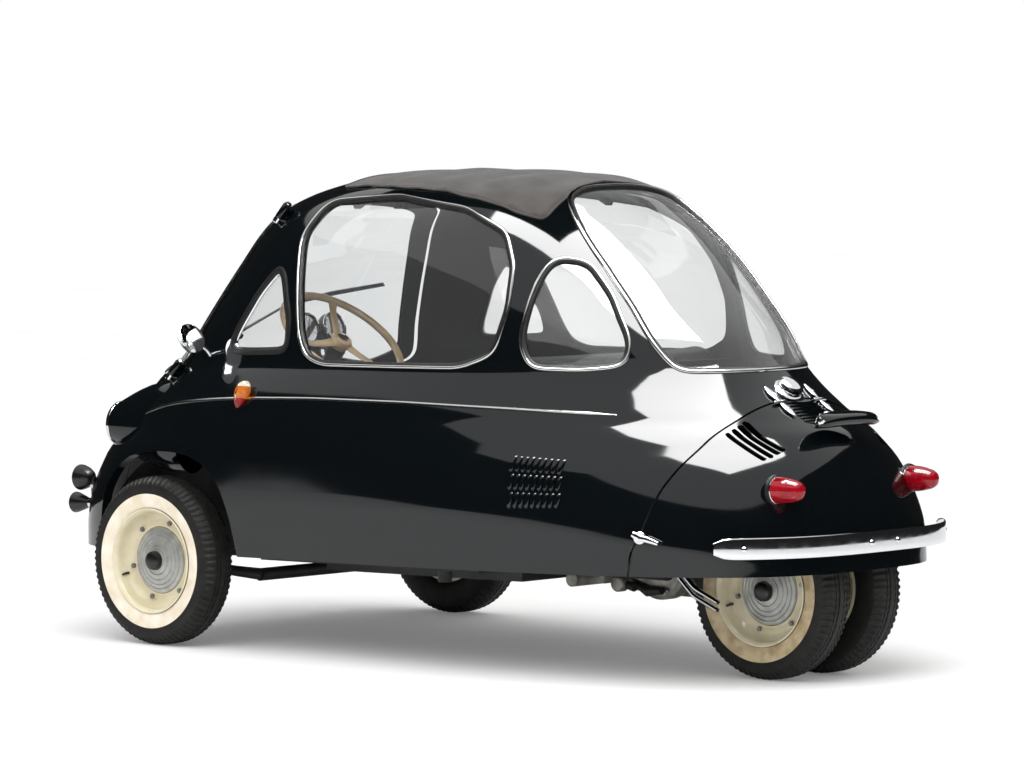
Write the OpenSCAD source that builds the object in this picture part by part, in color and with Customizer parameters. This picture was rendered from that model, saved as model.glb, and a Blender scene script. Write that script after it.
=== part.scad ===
// Bubble car: a small two-row cabin on four wheels, the rear pair close together.
// Millimetres. +X forward, +Y to the car's left, +Z up. The origin is on the ground
// under the centre of the car's box.

/* [Running gear] */
// Distance between front and rear axles
wheelbase = 1760; // [1700:10:1800]
// Distance between the centres of the front tyres
front_track = 1225; // [1215:5:1235]
// Distance between the centres of the twin rear tyres
rear_track = 220; // [216:2:224]
// Outside radius of a tyre
tyre_r = 235; // [233:1:236]
// Width of a tyre across its side walls
tyre_w = 112; // [108:1:114]
// Radius of the rim's flange
rim_r = 145; // [140:1:148]

/* [Body] */
// Nose-down lean of the sprung body, in degrees
lean = 1.2; // [1.0:0.1:1.4]
// Thickness of walls, door and pillars
wall = 22; // [20:1:24]
// Thickness of the panes
glass_t = 4; // [3:1:5]
// Depth of a pane behind the outer skin
glass_in = 6; // [5:1:8]
// Half the gap along the edge of the door and the tail cover
seam = 3; // [3:0.5:4]

/* [Cabin] */
// Height of the bench cushion's top above the body's datum
seat_top = 520; // [500:5:530]
// Radius of the steering wheel's rim
wheel_rim_r = 195; // [185:5:200]

/* [Hidden] */
$fn = 64;

// The body is drawn from a datum midway between the axles, then leans about it.
mid_x = -104;
axle_z = tyre_r;
front_x = mid_x + wheelbase / 2;
rear_x = mid_x - wheelbase / 2;
module sprung() translate([mid_x, 0, 0]) rotate([0, lean, 0]) children();

// Level rings of the body, each a lopsided superellipse:
// [z, foremost x, rearmost x, half width, x of the widest point, front power, rear power]
LEVELS = [
    [ 275, 1375, -1131, 625, 400, 4.6, 3.2],
    [ 360, 1364, -1126, 645, 400, 4.4, 3.1],
    [ 450, 1335, -1106, 657, 400, 4.2, 2.9],
    [ 540, 1298, -1080, 657, 400, 3.8, 2.6],
    [ 620, 1272, -1030, 645, 380, 3.0, 2.3],
    [ 680, 1245,  -945, 628, 350, 3.0, 2.2],
    [ 730, 1220,  -875, 605, 300, 2.8, 2.2],
    [ 770, 1187,  -830, 582, 260, 2.8, 2.2],
    [ 800, 1158,  -802, 565, 220, 2.8, 2.2],
    [ 880, 1087,  -742, 553, 180, 2.8, 2.25],
    [ 980, 1001,  -649, 530, 140, 2.8, 2.3],
    [1080,  918,  -556, 498, 120, 2.8, 2.3],
    [1160,  855,  -469, 462, 120, 2.8, 2.3],
    [1220,  790,  -393, 420, 120, 2.8, 2.3],
    [1260,  707,  -335, 375, 120, 2.8, 2.3],
    [1290,  610,  -239, 315, 120, 2.8, 2.3],
    [1310,  526,  -115, 230, 140, 2.8, 2.3],
    [1322,  365,    70, 100, 150, 2.8, 2.3]];
ring_n = 56;
roof_start = 1150;
roof_top = 1322;

// Point of a level at an angle, d inside the outer skin
function ring_point(level, angle, d) =
    let (ahead = cos(angle) >= 0,
         reach = (ahead ? level[1] - level[4] : level[4] - level[2]) - d,
         half = max(level[3] - d, 4),
         power = ahead ? level[5] : level[6],
         r = pow(pow(abs(cos(angle)), power) + pow(abs(sin(angle)), power), -1 / power),
         sink = d * max(0, min(1, (level[0] - roof_start) / (roof_top - roof_start))))
    [level[4] + reach * cos(angle) * r, half * sin(angle) * r, level[0] - sink];

// Solid inside a skin that lies d inside the outer one, reaching `below` under the sill
module skin(d, below = 0) {
    rings = len(LEVELS);
    points = [
        for (i = [0:rings - 1], k = [0:ring_n - 1])
            ring_point(LEVELS[i], 360 * k / ring_n, d) - [0, 0, i == 0 ? below : 0]];
    sides = [
        for (i = [0:rings - 2], k = [0:ring_n - 1])
            let (a = i * ring_n + k, b = i * ring_n + (k + 1) % ring_n)
            each [[a, a + ring_n, b], [b, a + ring_n, b + ring_n]]];
    floor_face = [[for (k = [0:ring_n - 1]) k]];
    roof_face = [[for (k = [ring_n - 1:-1:0]) (rings - 1) * ring_n + k]];
    polyhedron(points = points, faces = concat(sides, floor_face, roof_face));
}

// Layer of the body between two depths
module layer(outer, inner) difference() {
    skin(outer);
    skin(inner, 30);
}

// Outline with rounded corners, built as a fan of wedges about its middle
module fan(corners, r) {
    n = len(corners);
    middle = [for (axis = [0, 1]) [for (c = corners) 1] * [for (c = corners) c[axis]] / n];
    for (i = [0:n - 1]) hull() {
        translate(middle) circle(r);
        translate(corners[i]) circle(r, $fn = 24);
        translate(corners[(i + 1) % n]) circle(r, $fn = 24);
    }
}

// Side elevation outlines, [x, z], of the centres of the corner rounds
SIDE_WINDOW = [[368, 900], [409, 1033], [446, 1150], [422, 1211], [188, 1226], [-62, 1193],
               [-192, 1136], [-238, 1060], [-250, 965], [-232, 874], [-158, 847], [300, 847],
               [345, 860]];
QUARTER = [[-372, 1082], [-360, 1010], [-352, 880], [-376, 824], [-500, 820], [-586, 828],
           [-580, 876], [-508, 987], [-430, 1072]];
VENT = [[542, 1050], [601, 988], [661, 884], [674, 851], [600, 851], [462, 856], [470, 922],
        [520, 1020]];
REAR_WINDOW = [[-236, 1345], [-322, 1259], [-381, 1203], [-494, 1091], [-596, 976], [-660, 893],
               [-714, 827], [-960, 822], [-960, 1350]];
// Front elevation outlines, [y, height along the door's raked plane]
DOOR_EDGE = [[300, 600], [455, 95], [372, -110], [322, -300], [300, -440], [-300, -440],
             [-322, -300], [-372, -110], [-455, 95], [-300, 600]];
WINDSCREEN = [[265, 560], [415, 120], [395, 45], [200, 15], [-200, 15], [-395, 45],
              [-415, 120], [-265, 560]];
// Plan outline of the fabric roof, [x, y]
ROOF = [[440, 290], [228, 318], [-60, 350], [-205, 335], [-268, 308], [-262, 225], [-222, 110],
        [-196, 0], [-222, -110], [-262, -225], [-268, -308], [-205, -335], [-60, -350],
        [228, -318], [440, -290]];
// Edge of the tail cover in side elevation, [x, z], from its top to the sill
COVER_EDGE = [[-893, 760], [-889, 711], [-882, 673], [-859, 600], [-818, 501], [-790, 399],
              [-757, 333], [-738, 240]];
door_rake = 35;
far = 1600;

module across(height = far) rotate([90, 0, 0]) linear_extrude(height, center = true) children();
module side_cut(corners, r) across() fan(corners, r);
// Sweep of a front outline along the direction in which the door leaves
module raked(from, to) rotate([0, -door_rake, 0]) rotate([90, 0, 90])
    translate([0, 0, from]) linear_extrude(to - from) children();
module door_cut(gap) raked(560, 1800) offset(delta = gap) fan(DOOR_EDGE, 26);
module windscreen_cut() raked(500, 1800) fan(WINDSCREEN, 30);
module cover_cut(gap) across() offset(delta = gap)
    polygon(concat(COVER_EDGE, [[-1400, 240], [-1400, 760]]));
module roof_cut() translate([0, 0, 1150]) linear_extrude(300) fan(ROOF, 14);

lamp_x = 1166;
lamp_y = 475;
lamp_z = 618;
lamp_r = 65;

arch_x = 849;
arch_r = 272;
arch_z = 286;
arch_power = 2.7;
// Front wheel arches, squarer than a circle and fuller ahead of the steered wheel
module arches(inner) for (s = [-1, 1])
    translate([arch_x, s * (inner + 200), arch_z]) across(400) polygon([
        for (a = [0:6:354])
            let (r = pow(pow(abs(cos(a)), arch_power) + pow(abs(sin(a)), arch_power),
                         -1 / arch_power))
            arch_r * r * [cos(a) * (1 + 0.07 * pow(max(0, cos(a)), 3)), sin(a)]]);

// ---- Body -------------------------------------------------------------------------------

// Crown of each front wing, from the headlamp back to the door's lower hinge: [x, half width, half height]
crown = [[1150, 69, 71], [1130, 69, 78], [1100, 70, 92], [1070, 72, 104], [1040, 74, 114],
         [1010, 76, 121], [980, 78, 127], [940, 80, 132], [890, 80, 132]];
module crown_ring(c) translate([c[0], lamp_y, lamp_z]) scale([1, c[1] / 100, c[2] / 100])
    rotate([0, 90, 0]) cylinder(r = 100, h = 1, $fn = 48);
module wing_crowns() difference() {
    mirrored() for (i = [0:len(crown) - 2]) hull() {
        crown_ring(crown[i]);
        crown_ring(crown[i + 1]);
    }
    skin(8);
}

module body_shell() color([0.02, 0.02, 0.025]) sprung() difference() {
    union() {
        layer(0, wall);
        wing_crowns();
    }
    side_cut(SIDE_WINDOW, 36);
    side_cut(QUARTER, 26);
    side_cut(VENT, 22);
    side_cut(REAR_WINDOW, 26);
    for (y = [0, 5]) translate([0, y, 0]) door_cut(seam);
    cover_cut(seam);
    roof_cut();
    arches(400);
    for (s = [-1, 1]) translate([lamp_x - 170, s * lamp_y, lamp_z]) rotate([0, 90, 0])
        cylinder(r = lamp_r + 1, h = 400);
}

module pane() layer(glass_in, glass_in + glass_t);

module side_windows() color([0.75, 0.8, 0.8, 0.35]) sprung() intersection() {
    pane();
    side_cut(SIDE_WINDOW, 36);
}

module quarter_windows() color([0.75, 0.8, 0.8, 0.35]) sprung() intersection() {
    pane();
    side_cut(QUARTER, 26);
}

module vent_windows() color([0.75, 0.8, 0.8, 0.35]) sprung() intersection() {
    pane();
    side_cut(VENT, 22);
}

module rear_window() color([0.75, 0.8, 0.8, 0.35]) sprung() intersection() {
    pane();
    side_cut(REAR_WINDOW, 26);
}

module fabric_roof() color([0.28, 0.26, 0.25]) sprung() difference() {
    intersection() {
        layer(0, 12);
        roof_cut();
    }
    side_cut(SIDE_WINDOW, 38);
    side_cut(REAR_WINDOW, 28);
}

// Half width of the body at a level, x from the datum, d inside the skin
function half_at(level, x, d) =
    let (reach = (x >= level[4] ? level[1] - level[4] : level[4] - level[2]) - d,
         power = x >= level[4] ? level[5] : level[6])
    (level[3] - d) * pow(max(0, 1 - pow(abs(x - level[4]) / reach, power)), 1 / power);

// Hoops under the fabric, each a strip that follows the roof at its own x
bow_t = 10;
module roof_bow(x, levels) {
    n = len(levels);
    crown = [for (i = levels) [half_at(LEVELS[i], x, wall + 4), LEVELS[i][0] - wall - 4]];
    under = [for (p = crown) p - [bow_t / 2, bow_t]];
    translate([x, 0, 0]) rotate([90, 0, 90]) linear_extrude(24) polygon(concat(
        crown, [for (i = [n - 1:-1:0]) [-crown[i][0], crown[i][1]]],
        [for (p = under) [-p[0], p[1]]], [for (i = [n - 1:-1:0]) under[i]]));
}
module roof_bows() color("dimgray") sprung() {
    roof_bow(30, [14, 15, 16]);
    roof_bow(210, [14, 15, 16]);
    roof_bow(370, [14, 15, 16]);
    roof_bow(-130, [14, 15]);
}

pan_low = 230;
pan_high = 272;
// Sockets for the jack's pin, open downwards, one under each side
jack_x = -60;
jack_y = 480;
jack_h = 40;
jack_r = 14.05;
jack_depth = 36;
module floor_pan() color([0.05, 0.05, 0.055]) sprung() {
    difference() {
        union() {
            translate([-265, -400, pan_low]) cube([715, 800, pan_high - pan_low]);
            translate([440, -396, 254]) cube([640, 792, pan_high - 254]);
        }
        translate([-259, -394, pan_low + 6]) cube([703, 788, pan_high]);
        translate([435, -390, 260]) cube([639, 780, pan_high]);
    }
    mirrored() {
        translate([-265, 400, pan_high - 6]) cube([800, 174, 6]);
        translate([jack_x, jack_y, pan_high - 6 - jack_h]) difference() {
            cylinder(r = jack_r + 5, h = jack_h);
            translate([0, 0, -1]) cylinder(r = jack_r, h = jack_depth + 1);
        }
    }
}

well_r = 339;
module wheel_wells() color([0.04, 0.04, 0.045]) difference() {
    sprung() mirrored() translate([wheelbase / 2 - 20, 0, axle_z - 18]) intersection() {
        rotate([-90, 0, 0]) translate([0, 0, 405]) difference() {
            cylinder(r = well_r + 6, h = 120);
            translate([0, 0, 6]) cylinder(r = well_r, h = 160);
        }
        translate([-far / 2, -far / 2, 62]) cube(far);
    }
    translate([tube_x - 40, -460, 100]) cube([80, 920, 230]);
}

wall_x = -330;
module bulkhead() color([0.04, 0.04, 0.045]) sprung() {
    edge = [for (i = [0:8]) [half_at(LEVELS[i], wall_x, wall + 4), max(LEVELS[i][0], 280)]];
    translate([wall_x, 0, 0]) rotate([90, 0, 90]) linear_extrude(10)
        polygon(concat(edge, [for (i = [8:-1:0]) [-edge[i][0], edge[i][1]]]));
    rear = [for (a = [110:5:250])
        let (p = ring_point(LEVELS[7], a, wall + 8)) if (p[0] < wall_x) [p[0], p[1]]];
    translate([0, 0, 740]) linear_extrude(8)
        polygon(concat([[wall_x, half_at(LEVELS[7], wall_x, wall + 8)]], rear,
                       [[wall_x, -half_at(LEVELS[7], wall_x, wall + 8)]]));
}

bench_w = 940;
bench_x = -150;
module bench_frame() color([0.1, 0.1, 0.1]) sprung() {
    translate([bench_x, -bench_w / 2 + 30, 278]) cube([320, bench_w - 60, 118]);
    translate([bench_x - 60, -bench_w / 2 + 60, 380]) cube([58, bench_w - 120, 18]);
}

module bench_cushion() color([0.1, 0.1, 0.11]) sprung()
    translate([bench_x - 40, -bench_w / 2, 400]) cube([460, bench_w, seat_top - 400]);

module bench_backrest() color([0.1, 0.1, 0.11]) sprung()
    translate([bench_x - 50, -bench_w / 2 + 20, seat_top + 2]) rotate([0, -14, 0])
        cube([90, bench_w - 40, 330]);

// Column from the steering wheel's hub down to the floor
hub = [520, 250, 862];
column_tilt = 40;
module on_column() translate(hub) rotate([0, -column_tilt, 0]) children();
module steering_column() color([0.05, 0.05, 0.05]) sprung() on_column() difference() {
    union() {
        translate([0, 0, -740]) cylinder(r = 20, h = 700);
        translate([0, 0, -62]) cylinder(r = 27, h = 32);
    }
    translate([0, 0, -741]) cylinder(r = 10.05, h = 800);
}

module instrument_pod() color([0.05, 0.05, 0.05]) sprung() {
    translate([640, 205, 890]) rotate([0, -75, 0]) {
        for (s = [-1, 1]) translate([0, s * 52, 0]) difference() {
            translate([0, 0, -40]) cylinder(r = 44, h = 44);
            translate([0, 0, -2]) cylinder(r = 38, h = 10);
        }
        translate([-20, -40, -60]) cube([34, 80, 20]);
    }
    translate([610, 240, 782]) cube([60, 20, 84]);
}

module pedals() color([0.06, 0.06, 0.06]) sprung() for (y = [120, 215, 310])
    translate([1000, y, 0]) {
        translate([0, 0, 260]) cylinder(r = 7, h = 92);
        translate([-14, -24, 340]) rotate([0, 25, 0]) cube([10, 48, 62]);
    }

module gear_lever() color([0.06, 0.06, 0.06]) sprung() {
    translate([330, 505, 420]) rotate([0, 12, 0]) cylinder(r = 8, h = 180);
    translate([368, 505, 604]) sphere(r = 18);
    translate([290, 520, 420]) cube([80, 40, 60]);
}

module headlamps() color([0.85, 0.85, 0.87]) sprung() for (s = [-1, 1])
    translate([lamp_x, s * lamp_y, lamp_z]) rotate([0, 90, 0]) rotate_extrude()
        polygon([[0, -110], [40, -100], [58, -60], [lamp_r - 3, -16], [lamp_r, -8], [lamp_r, 0],
                 [52, 6], [30, 14], [0, 17]]);

module indicators() color([0.9, 0.55, 0.2]) sprung() for (s = [-1, 1])
    translate([564, s * 604, 717]) rotate([s * -80, 0, 0]) rotate_extrude()
        polygon([[0, 0], [19, 0], [19, 14], [14, 32], [0, 38]]);

module wing_mirror() color([0.8, 0.8, 0.82]) sprung() {
    translate([800, 580, 872]) rotate([0, -90, 0]) rotate_extrude()
        polygon([[0, -24], [22, -18], [40, -4], [44, 2], [44, 6], [0, 6]]);
    translate([786, 492, 812]) rotate([-66, 0, 0]) translate([0, 0, 0]) cylinder(r = 5, h = 88);
}

module horn() color([0.07, 0.07, 0.07]) sprung() for (s = [-1, 1])
    translate([1366, s * 467, 388]) rotate([0, 90, 0]) rotate_extrude()
        polygon([[0, -90], [12, -90], [12, -46], [30, -6], [30, 0], [26, 0], [0, -30]]);

module fog_lamp() color([0.07, 0.07, 0.07]) sprung() for (s = [-1, 1]) {
    translate([1346, s * 467, 460]) rotate([0, 90, 0]) rotate_extrude()
        polygon([[0, -52], [14, -50], [30, -26], [37, -6], [37, 0], [0, 6]]);
    translate([1286, s * 467 - 6, 381]) cube([14, 12, 82]);
    translate([1214, s * 467 - 6, 381]) cube([86, 12, 14]);
    translate([1286, s * 467 - 4, 446]) cube([24, 8, 16]);
}

module fuel_cap() color([0.85, 0.85, 0.87]) sprung()
    translate([-828, 0, 758]) rotate([0, -45, 0]) cylinder(r = 28, h = 26);

// ---- Running gear fixed to the chassis ---------------------------------------------------

kingpin_y = 525;
tube_x = front_x - 178;
module mirrored() {
    children();
    mirror([0, 1, 0]) children();
}
module bar(a, b, w, h) {
    d = b - a;
    translate(a) rotate([0, 0, atan2(d[1], d[0])]) translate([0, -w / 2, 0]) cube([norm(d), w, h]);
}
module front_axle() color([0.12, 0.12, 0.12]) {
    translate([tube_x, -415, 190]) rotate([-90, 0, 0]) cylinder(r = 20, h = 830);
    mirrored() {
        translate([tube_x - 8, 409, 150]) cube([16, 16, 172]);
        for (z = [146, 312]) {
            bar([tube_x, 417, z], [front_x, kingpin_y, z], 16, 10);
            translate([front_x, kingpin_y, z]) cylinder(r = 18, h = 10);
        }
        translate([front_x, kingpin_y, 150]) cylinder(r = 8, h = 165);
    }
}

module swing_arm() color([0.2, 0.2, 0.2]) difference() {
    union() {
        translate([rear_x, 0, axle_z]) rotate([90, 0, 0]) cylinder(r = 58, h = 70, center = true);
        translate([rear_x, -35, axle_z - 42]) cube([226, 70, 84]);
        translate([mid_x - 305, -250, axle_z]) rotate([-90, 0, 0]) cylinder(r = 20, h = 500);
        for (y = [-160, 120]) translate([mid_x - 345, y, axle_z - 15]) cube([30, 40, 30]);
    }
    translate([rear_x, 0, axle_z]) rotate([90, 0, 0]) cylinder(r = 15.05, h = 200, center = true);
}

module engine_block() color([0.45, 0.45, 0.44])
    translate([mid_x - 626, -200, 185]) cube([280, 360, 330]);

module exhaust() color([0.7, 0.7, 0.72]) {
    translate([mid_x - 620, 215, 285]) rotate([0, 90, 0]) cylinder(r = 36, h = 230);
    for (k = [0, 1]) translate([mid_x - 700, 212 + 2 * k, 236 - 20 * k]) {
        rotate([0, 48, 0]) cylinder(r = 7, h = 84);
        rotate([0, -112, 0]) cylinder(r = 7, h = 90);
        sphere(r = 9);
    }
}

// ---- Door --------------------------------------------------------------------------------

hinge_low = [936, 496, 776];
hinge_high = [636, 366, 1214];
hinge_dir = hinge_high - hinge_low;
hinge_len = norm(hinge_dir);
module along_hinge(at) translate(hinge_low + at * hinge_dir)
    rotate([0, acos(hinge_dir[2] / hinge_len), atan2(hinge_dir[1], hinge_dir[0])]) children();
module door_hinge_pins() color([0.7, 0.7, 0.72]) sprung() for (at = [0, 1]) along_hinge(at) {
    cylinder(r = 5, h = 60, center = true);
    translate([0, 0, -30]) cylinder(r = 12, h = 14);
}

module door() color([0.02, 0.02, 0.025]) sprung() difference() {
    intersection() {
        layer(0, wall - 4);
        door_cut(-seam);
    }
    windscreen_cut();
}

module windscreen() color([0.75, 0.8, 0.8, 0.35]) sprung() intersection() {
    pane();
    windscreen_cut();
}

module door_hinge_sleeves() color([0.05, 0.05, 0.05]) sprung() for (at = [0, 1])
    along_hinge(at) difference() {
        translate([0, 0, -15.5]) cylinder(r = 12, h = 44);
        translate([0, 0, -30]) cylinder(r = 5.05, h = 80);
    }

module door_handle() color([0.85, 0.85, 0.87]) sprung() {
    translate([1140, -440, 722]) rotate([-90, 0, 20]) cylinder(r = 8, h = 95);
    translate([1100, -420, 722]) rotate([0, 90, 0]) cylinder(r = 7, h = 40);
}

module rod(a, b, r) {
    d = b - a;
    translate(a) rotate([0, acos(d[2] / norm(d)), atan2(d[1], d[0])]) cylinder(r = r, h = norm(d));
}
module wiper() color([0.1, 0.1, 0.1]) sprung() {
    rod([1116, 60, 862], [1054, -110, 948], 5);
    rod([1054, -110, 948], [1006, -232, 972], 6);
    rod([1006, -232, 972], [914, -350, 996], 6);
    for (p = [[1054, -110, 948], [1006, -232, 972]]) translate(p) sphere(r = 7);
    translate([1102, 60, 858.4]) rotate([0, 55, 0]) cylinder(r = 10, h = 20);
}

// ---- Tail cover --------------------------------------------------------------------------

// Relieved on the inside so that the twin tyres clear it
module tail_cover() color([0.02, 0.02, 0.025]) difference() {
    sprung() intersection() {
        layer(0, wall);
        cover_cut(-seam);
        side_cut([[-1400, 200], [-1400, 800], [-900, 800], [-780, 800], [-700, 500],
                  [-700, 400], [-700, 300], [-700, 200]], 5);
    }
    translate([rear_x, 0, axle_z]) rotate([90, 0, 0])
        cylinder(r = tyre_r + 5.5, h = rear_track + tyre_w + 14, center = true);
}

cover_hinge = [-905, 101, 728];
module cover_hinges() color([0.85, 0.85, 0.87]) sprung() mirrored() translate(cover_hinge) {
    rotate([90, 0, 0]) cylinder(r = 6, h = 60, center = true);
    translate([-50, -8, -28]) rotate([0, -38, 0]) cube([54, 16, 8]);
}

module cover_latches() color([0.85, 0.85, 0.87]) sprung() mirrored()
    translate([-800, 540, 383]) rotate([90, 0, 0]) cylinder(r = 16, h = 30, center = true);

bumper_off = 46;
module bumper() color([0.85, 0.85, 0.87]) sprung() {
    outer = [for (a = [141:3:219]) let (p = ring_point(LEVELS[1], a, -bumper_off - 5)) [p[0], p[1]]];
    inner = [for (a = [219:-3:141]) let (p = ring_point(LEVELS[1], a, -bumper_off)) [p[0], p[1]]];
    translate([0, 0, 325]) linear_extrude(56) polygon(concat(outer, inner));
    for (y = [-300, 300]) translate([-1120, y - 15, 342]) cube([66, 30, 24]);
}

module tail_lamps() color([0.6, 0.02, 0.04]) sprung() mirrored()
    translate([-1010, 288, 509]) rotate([0, -90, 0]) rotate_extrude()
        polygon([[0, 0], [36, 0], [36, 26], [33, 60], [22, 88], [0, 100]]);

module plate_hood() color([0.02, 0.02, 0.025]) sprung() {
    translate([0, 131, 0]) rotate([90, 0, 0]) linear_extrude(262)
        polygon([[-935, 700], [-1000, 694], [-1072, 672], [-1074, 655], [-1010, 660], [-960, 668]]);
}

// ---- Wheels ------------------------------------------------------------------------------

module knuckle() {
    translate([front_x, kingpin_y, 157]) difference() {
        cylinder(r = 15, h = 154);
        translate([0, 0, -1]) cylinder(r = 8.05, h = 160);
    }
    translate([front_x, kingpin_y + 14, axle_z]) rotate([-90, 0, 0]) cylinder(r = 12, h = 68);
    translate([front_x, 553, axle_z]) rotate([-90, 0, 0]) cylinder(r = 84, h = 6);
}
module knuckle_left() color([0.15, 0.15, 0.15]) knuckle();
module knuckle_right() color([0.15, 0.15, 0.15]) mirror([0, 1, 0]) knuckle();

// Half sections, [radius, distance from the wheel's middle plane]
half_w = tyre_w / 2;
module tyre() rotate_extrude($fn = 96) polygon([
    [rim_r - 3, -42], [rim_r + 14, -50], [190, -half_w], [214, -half_w + 3], [228, -40],
    [tyre_r, -28], [tyre_r, 28], [228, 40], [214, half_w - 3], [190, half_w], [rim_r + 14, 50],
    [rim_r - 3, 42]]);

drum_r = 91;
module rim(bore) rotate_extrude($fn = 96) polygon([
    [bore, -26], [drum_r - 6, -26], [drum_r - 4, -4], [118, -4], [122, -40], [rim_r - 3.5, -42.5],
    [rim_r - 3.5, 43], [rim_r, 50], [rim_r - 4, 52], [rim_r - 8, 44], [128, 40], [124, 6],
    [drum_r, 4], [drum_r - 6, 26], [40, 32], [26, 32], [26, 46], [20, 52], [0, 52], [0, 12],
    [bore, 12]]);

module at_wheel(x, y) translate([x, y, axle_z]) rotate([-90, 0, 0]) children();
module front_tyre_left() color([0.03, 0.03, 0.03]) at_wheel(front_x, front_track / 2) tyre();
module front_tyre_right() color([0.03, 0.03, 0.03]) at_wheel(front_x, -front_track / 2) tyre();
module front_rim_left() color([0.85, 0.82, 0.7]) at_wheel(front_x, front_track / 2) rim(12.05);
module front_rim_right() color([0.85, 0.82, 0.7]) mirror([0, 1, 0])
    at_wheel(front_x, front_track / 2) rim(12.05);
module rear_tyres() color([0.03, 0.03, 0.03])
    for (s = [-1, 1]) at_wheel(rear_x, s * rear_track / 2) tyre();
module rear_rims() color([0.85, 0.82, 0.7]) mirrored() at_wheel(rear_x, rear_track / 2) rim(14);
module rear_axle() color([0.4, 0.4, 0.4])
    translate([rear_x, 0, axle_z]) rotate([90, 0, 0]) {
        cylinder(r = 15, h = 164, center = true);
        cylinder(r = 14, h = 2 * (rear_track / 2 + 12), center = true);
    }

module steering_wheel() color([0.85, 0.74, 0.55]) sprung() on_column() {
    rotate_extrude($fn = 96) translate([wheel_rim_r - 11, 0]) circle(r = 11, $fn = 32);
    translate([0, 0, -28]) cylinder(r = 28, h = 36);
    translate([0, 0, -300]) cylinder(r = 10, h = 300);
    for (a = [90, 210, 330]) rotate([0, 0, a]) translate([24, -9, -14]) cube([wheel_rim_r - 40, 18, 8]);
}

body_shell();
floor_pan();
wheel_wells();
roof_bows();
fabric_roof();
side_windows();
quarter_windows();
vent_windows();
rear_window();
bulkhead();
bench_frame();
bench_cushion();
bench_backrest();
steering_column();
instrument_pod();
pedals();
gear_lever();
headlamps();
indicators();
wing_mirror();
horn();
fog_lamp();
fuel_cap();
front_axle();
swing_arm();
engine_block();
exhaust();
door_hinge_pins();
door();
windscreen();
door_hinge_sleeves();
door_handle();
wiper();
tail_cover();
cover_hinges();
cover_latches();
bumper();
tail_lamps();
plate_hood();
knuckle_left();
knuckle_right();
front_tyre_left();
front_tyre_right();
front_rim_left();
front_rim_right();
rear_tyres();
rear_rims();
rear_axle();
steering_wheel();
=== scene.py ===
# %% [markdown]
# Bubble car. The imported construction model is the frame: it holds every piece at its real size. This lesson
# builds the smooth, glossy and soft surfaces round it, one piece at a time, and gives each its finish.

# %% Load the frame
import math

import bmesh
import bpy
import numpy as np
from mathutils import Matrix, Vector
from mathutils.geometry import delaunay_2d_cdt


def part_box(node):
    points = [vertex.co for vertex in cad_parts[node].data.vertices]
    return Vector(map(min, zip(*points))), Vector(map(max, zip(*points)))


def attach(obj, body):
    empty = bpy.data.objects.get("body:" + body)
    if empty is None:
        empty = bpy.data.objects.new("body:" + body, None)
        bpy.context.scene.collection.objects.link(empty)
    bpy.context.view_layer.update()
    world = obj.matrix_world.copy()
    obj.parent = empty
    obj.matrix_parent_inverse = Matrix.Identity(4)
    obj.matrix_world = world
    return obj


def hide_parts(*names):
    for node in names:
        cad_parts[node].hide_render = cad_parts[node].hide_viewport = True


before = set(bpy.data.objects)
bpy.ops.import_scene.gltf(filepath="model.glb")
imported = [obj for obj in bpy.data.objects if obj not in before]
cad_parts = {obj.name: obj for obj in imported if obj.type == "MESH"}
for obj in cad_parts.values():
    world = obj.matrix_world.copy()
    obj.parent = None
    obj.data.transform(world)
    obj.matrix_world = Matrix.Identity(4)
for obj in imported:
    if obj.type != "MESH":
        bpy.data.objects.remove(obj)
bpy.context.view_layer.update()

# %% [markdown]
# The camera comes first, because everything else is judged through it. It is a long lens, far away and low,
# looking at the left rear quarter, so the car's lines stay nearly parallel.

# %% Camera
MID_X = (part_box("front_tyre_left")[0].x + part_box("rear_tyres")[1].x) / 2
SENSOR_MM, LENS_MM = 36, 189.84375
CAM_TURN, CAM_TILT, CAM_ROLL = math.radians(41.09), math.radians(3.40), math.radians(0.33)
CAM_FROM_MID = Vector((-9.69, 11.26, 1.62))

camera_data = bpy.data.cameras.new("camera")
camera_data.sensor_width = SENSOR_MM
camera_data.lens = LENS_MM
camera_data.clip_end = 200
camera = bpy.data.objects.new("camera", camera_data)
bpy.context.scene.collection.objects.link(camera)
bpy.context.scene.camera = camera
aim = Vector((math.sin(CAM_TURN) * math.cos(CAM_TILT), -math.cos(CAM_TURN) * math.cos(CAM_TILT),
              -math.sin(CAM_TILT)))
camera.matrix_world = (Matrix.Translation(Vector((MID_X, 0, 0)) + CAM_FROM_MID)
                       @ aim.to_track_quat("-Z", "Y").to_matrix().to_4x4()
                       @ Matrix.Rotation(CAM_ROLL, 4, "Z"))
print("lens", round(camera_data.lens, 1), "mm, midway between the axles at x =", round(MID_X, 4))

# %% [markdown]
# Colours are written as sRGB hex, as a paint chart gives them, and turned to the linear values that a shader
# needs. One helper adds a node with its settings and links, so each finish below reads as a short list.

# %% Colour and node helpers
MM = 0.001


def linear(hex_colour):
    """Linear RGBA of an sRGB hex colour."""
    parts = [int(hex_colour[i:i + 2], 16) / 255 for i in (1, 3, 5)]
    return tuple(c / 12.92 if c <= 0.04045 else ((c + 0.055) / 1.055) ** 2.4 for c in parts) + (1.0,)


def add_node(tree, kind, settings=None, **inputs):
    """Adds a node; settings are its properties, inputs are values or sockets for its inputs."""
    made = tree.nodes.new(kind)
    for key, value in (settings or {}).items():
        setattr(made, key, value)
    for key, value in inputs.items():
        socket = made.inputs[int(key[1:])] if key[0] == "i" and key[1:].isdigit() else made.inputs[
            key.replace("_", " ")]
        if isinstance(value, bpy.types.NodeSocket):
            tree.links.new(value, socket)
        else:
            socket.default_value = value
    return made


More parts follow.
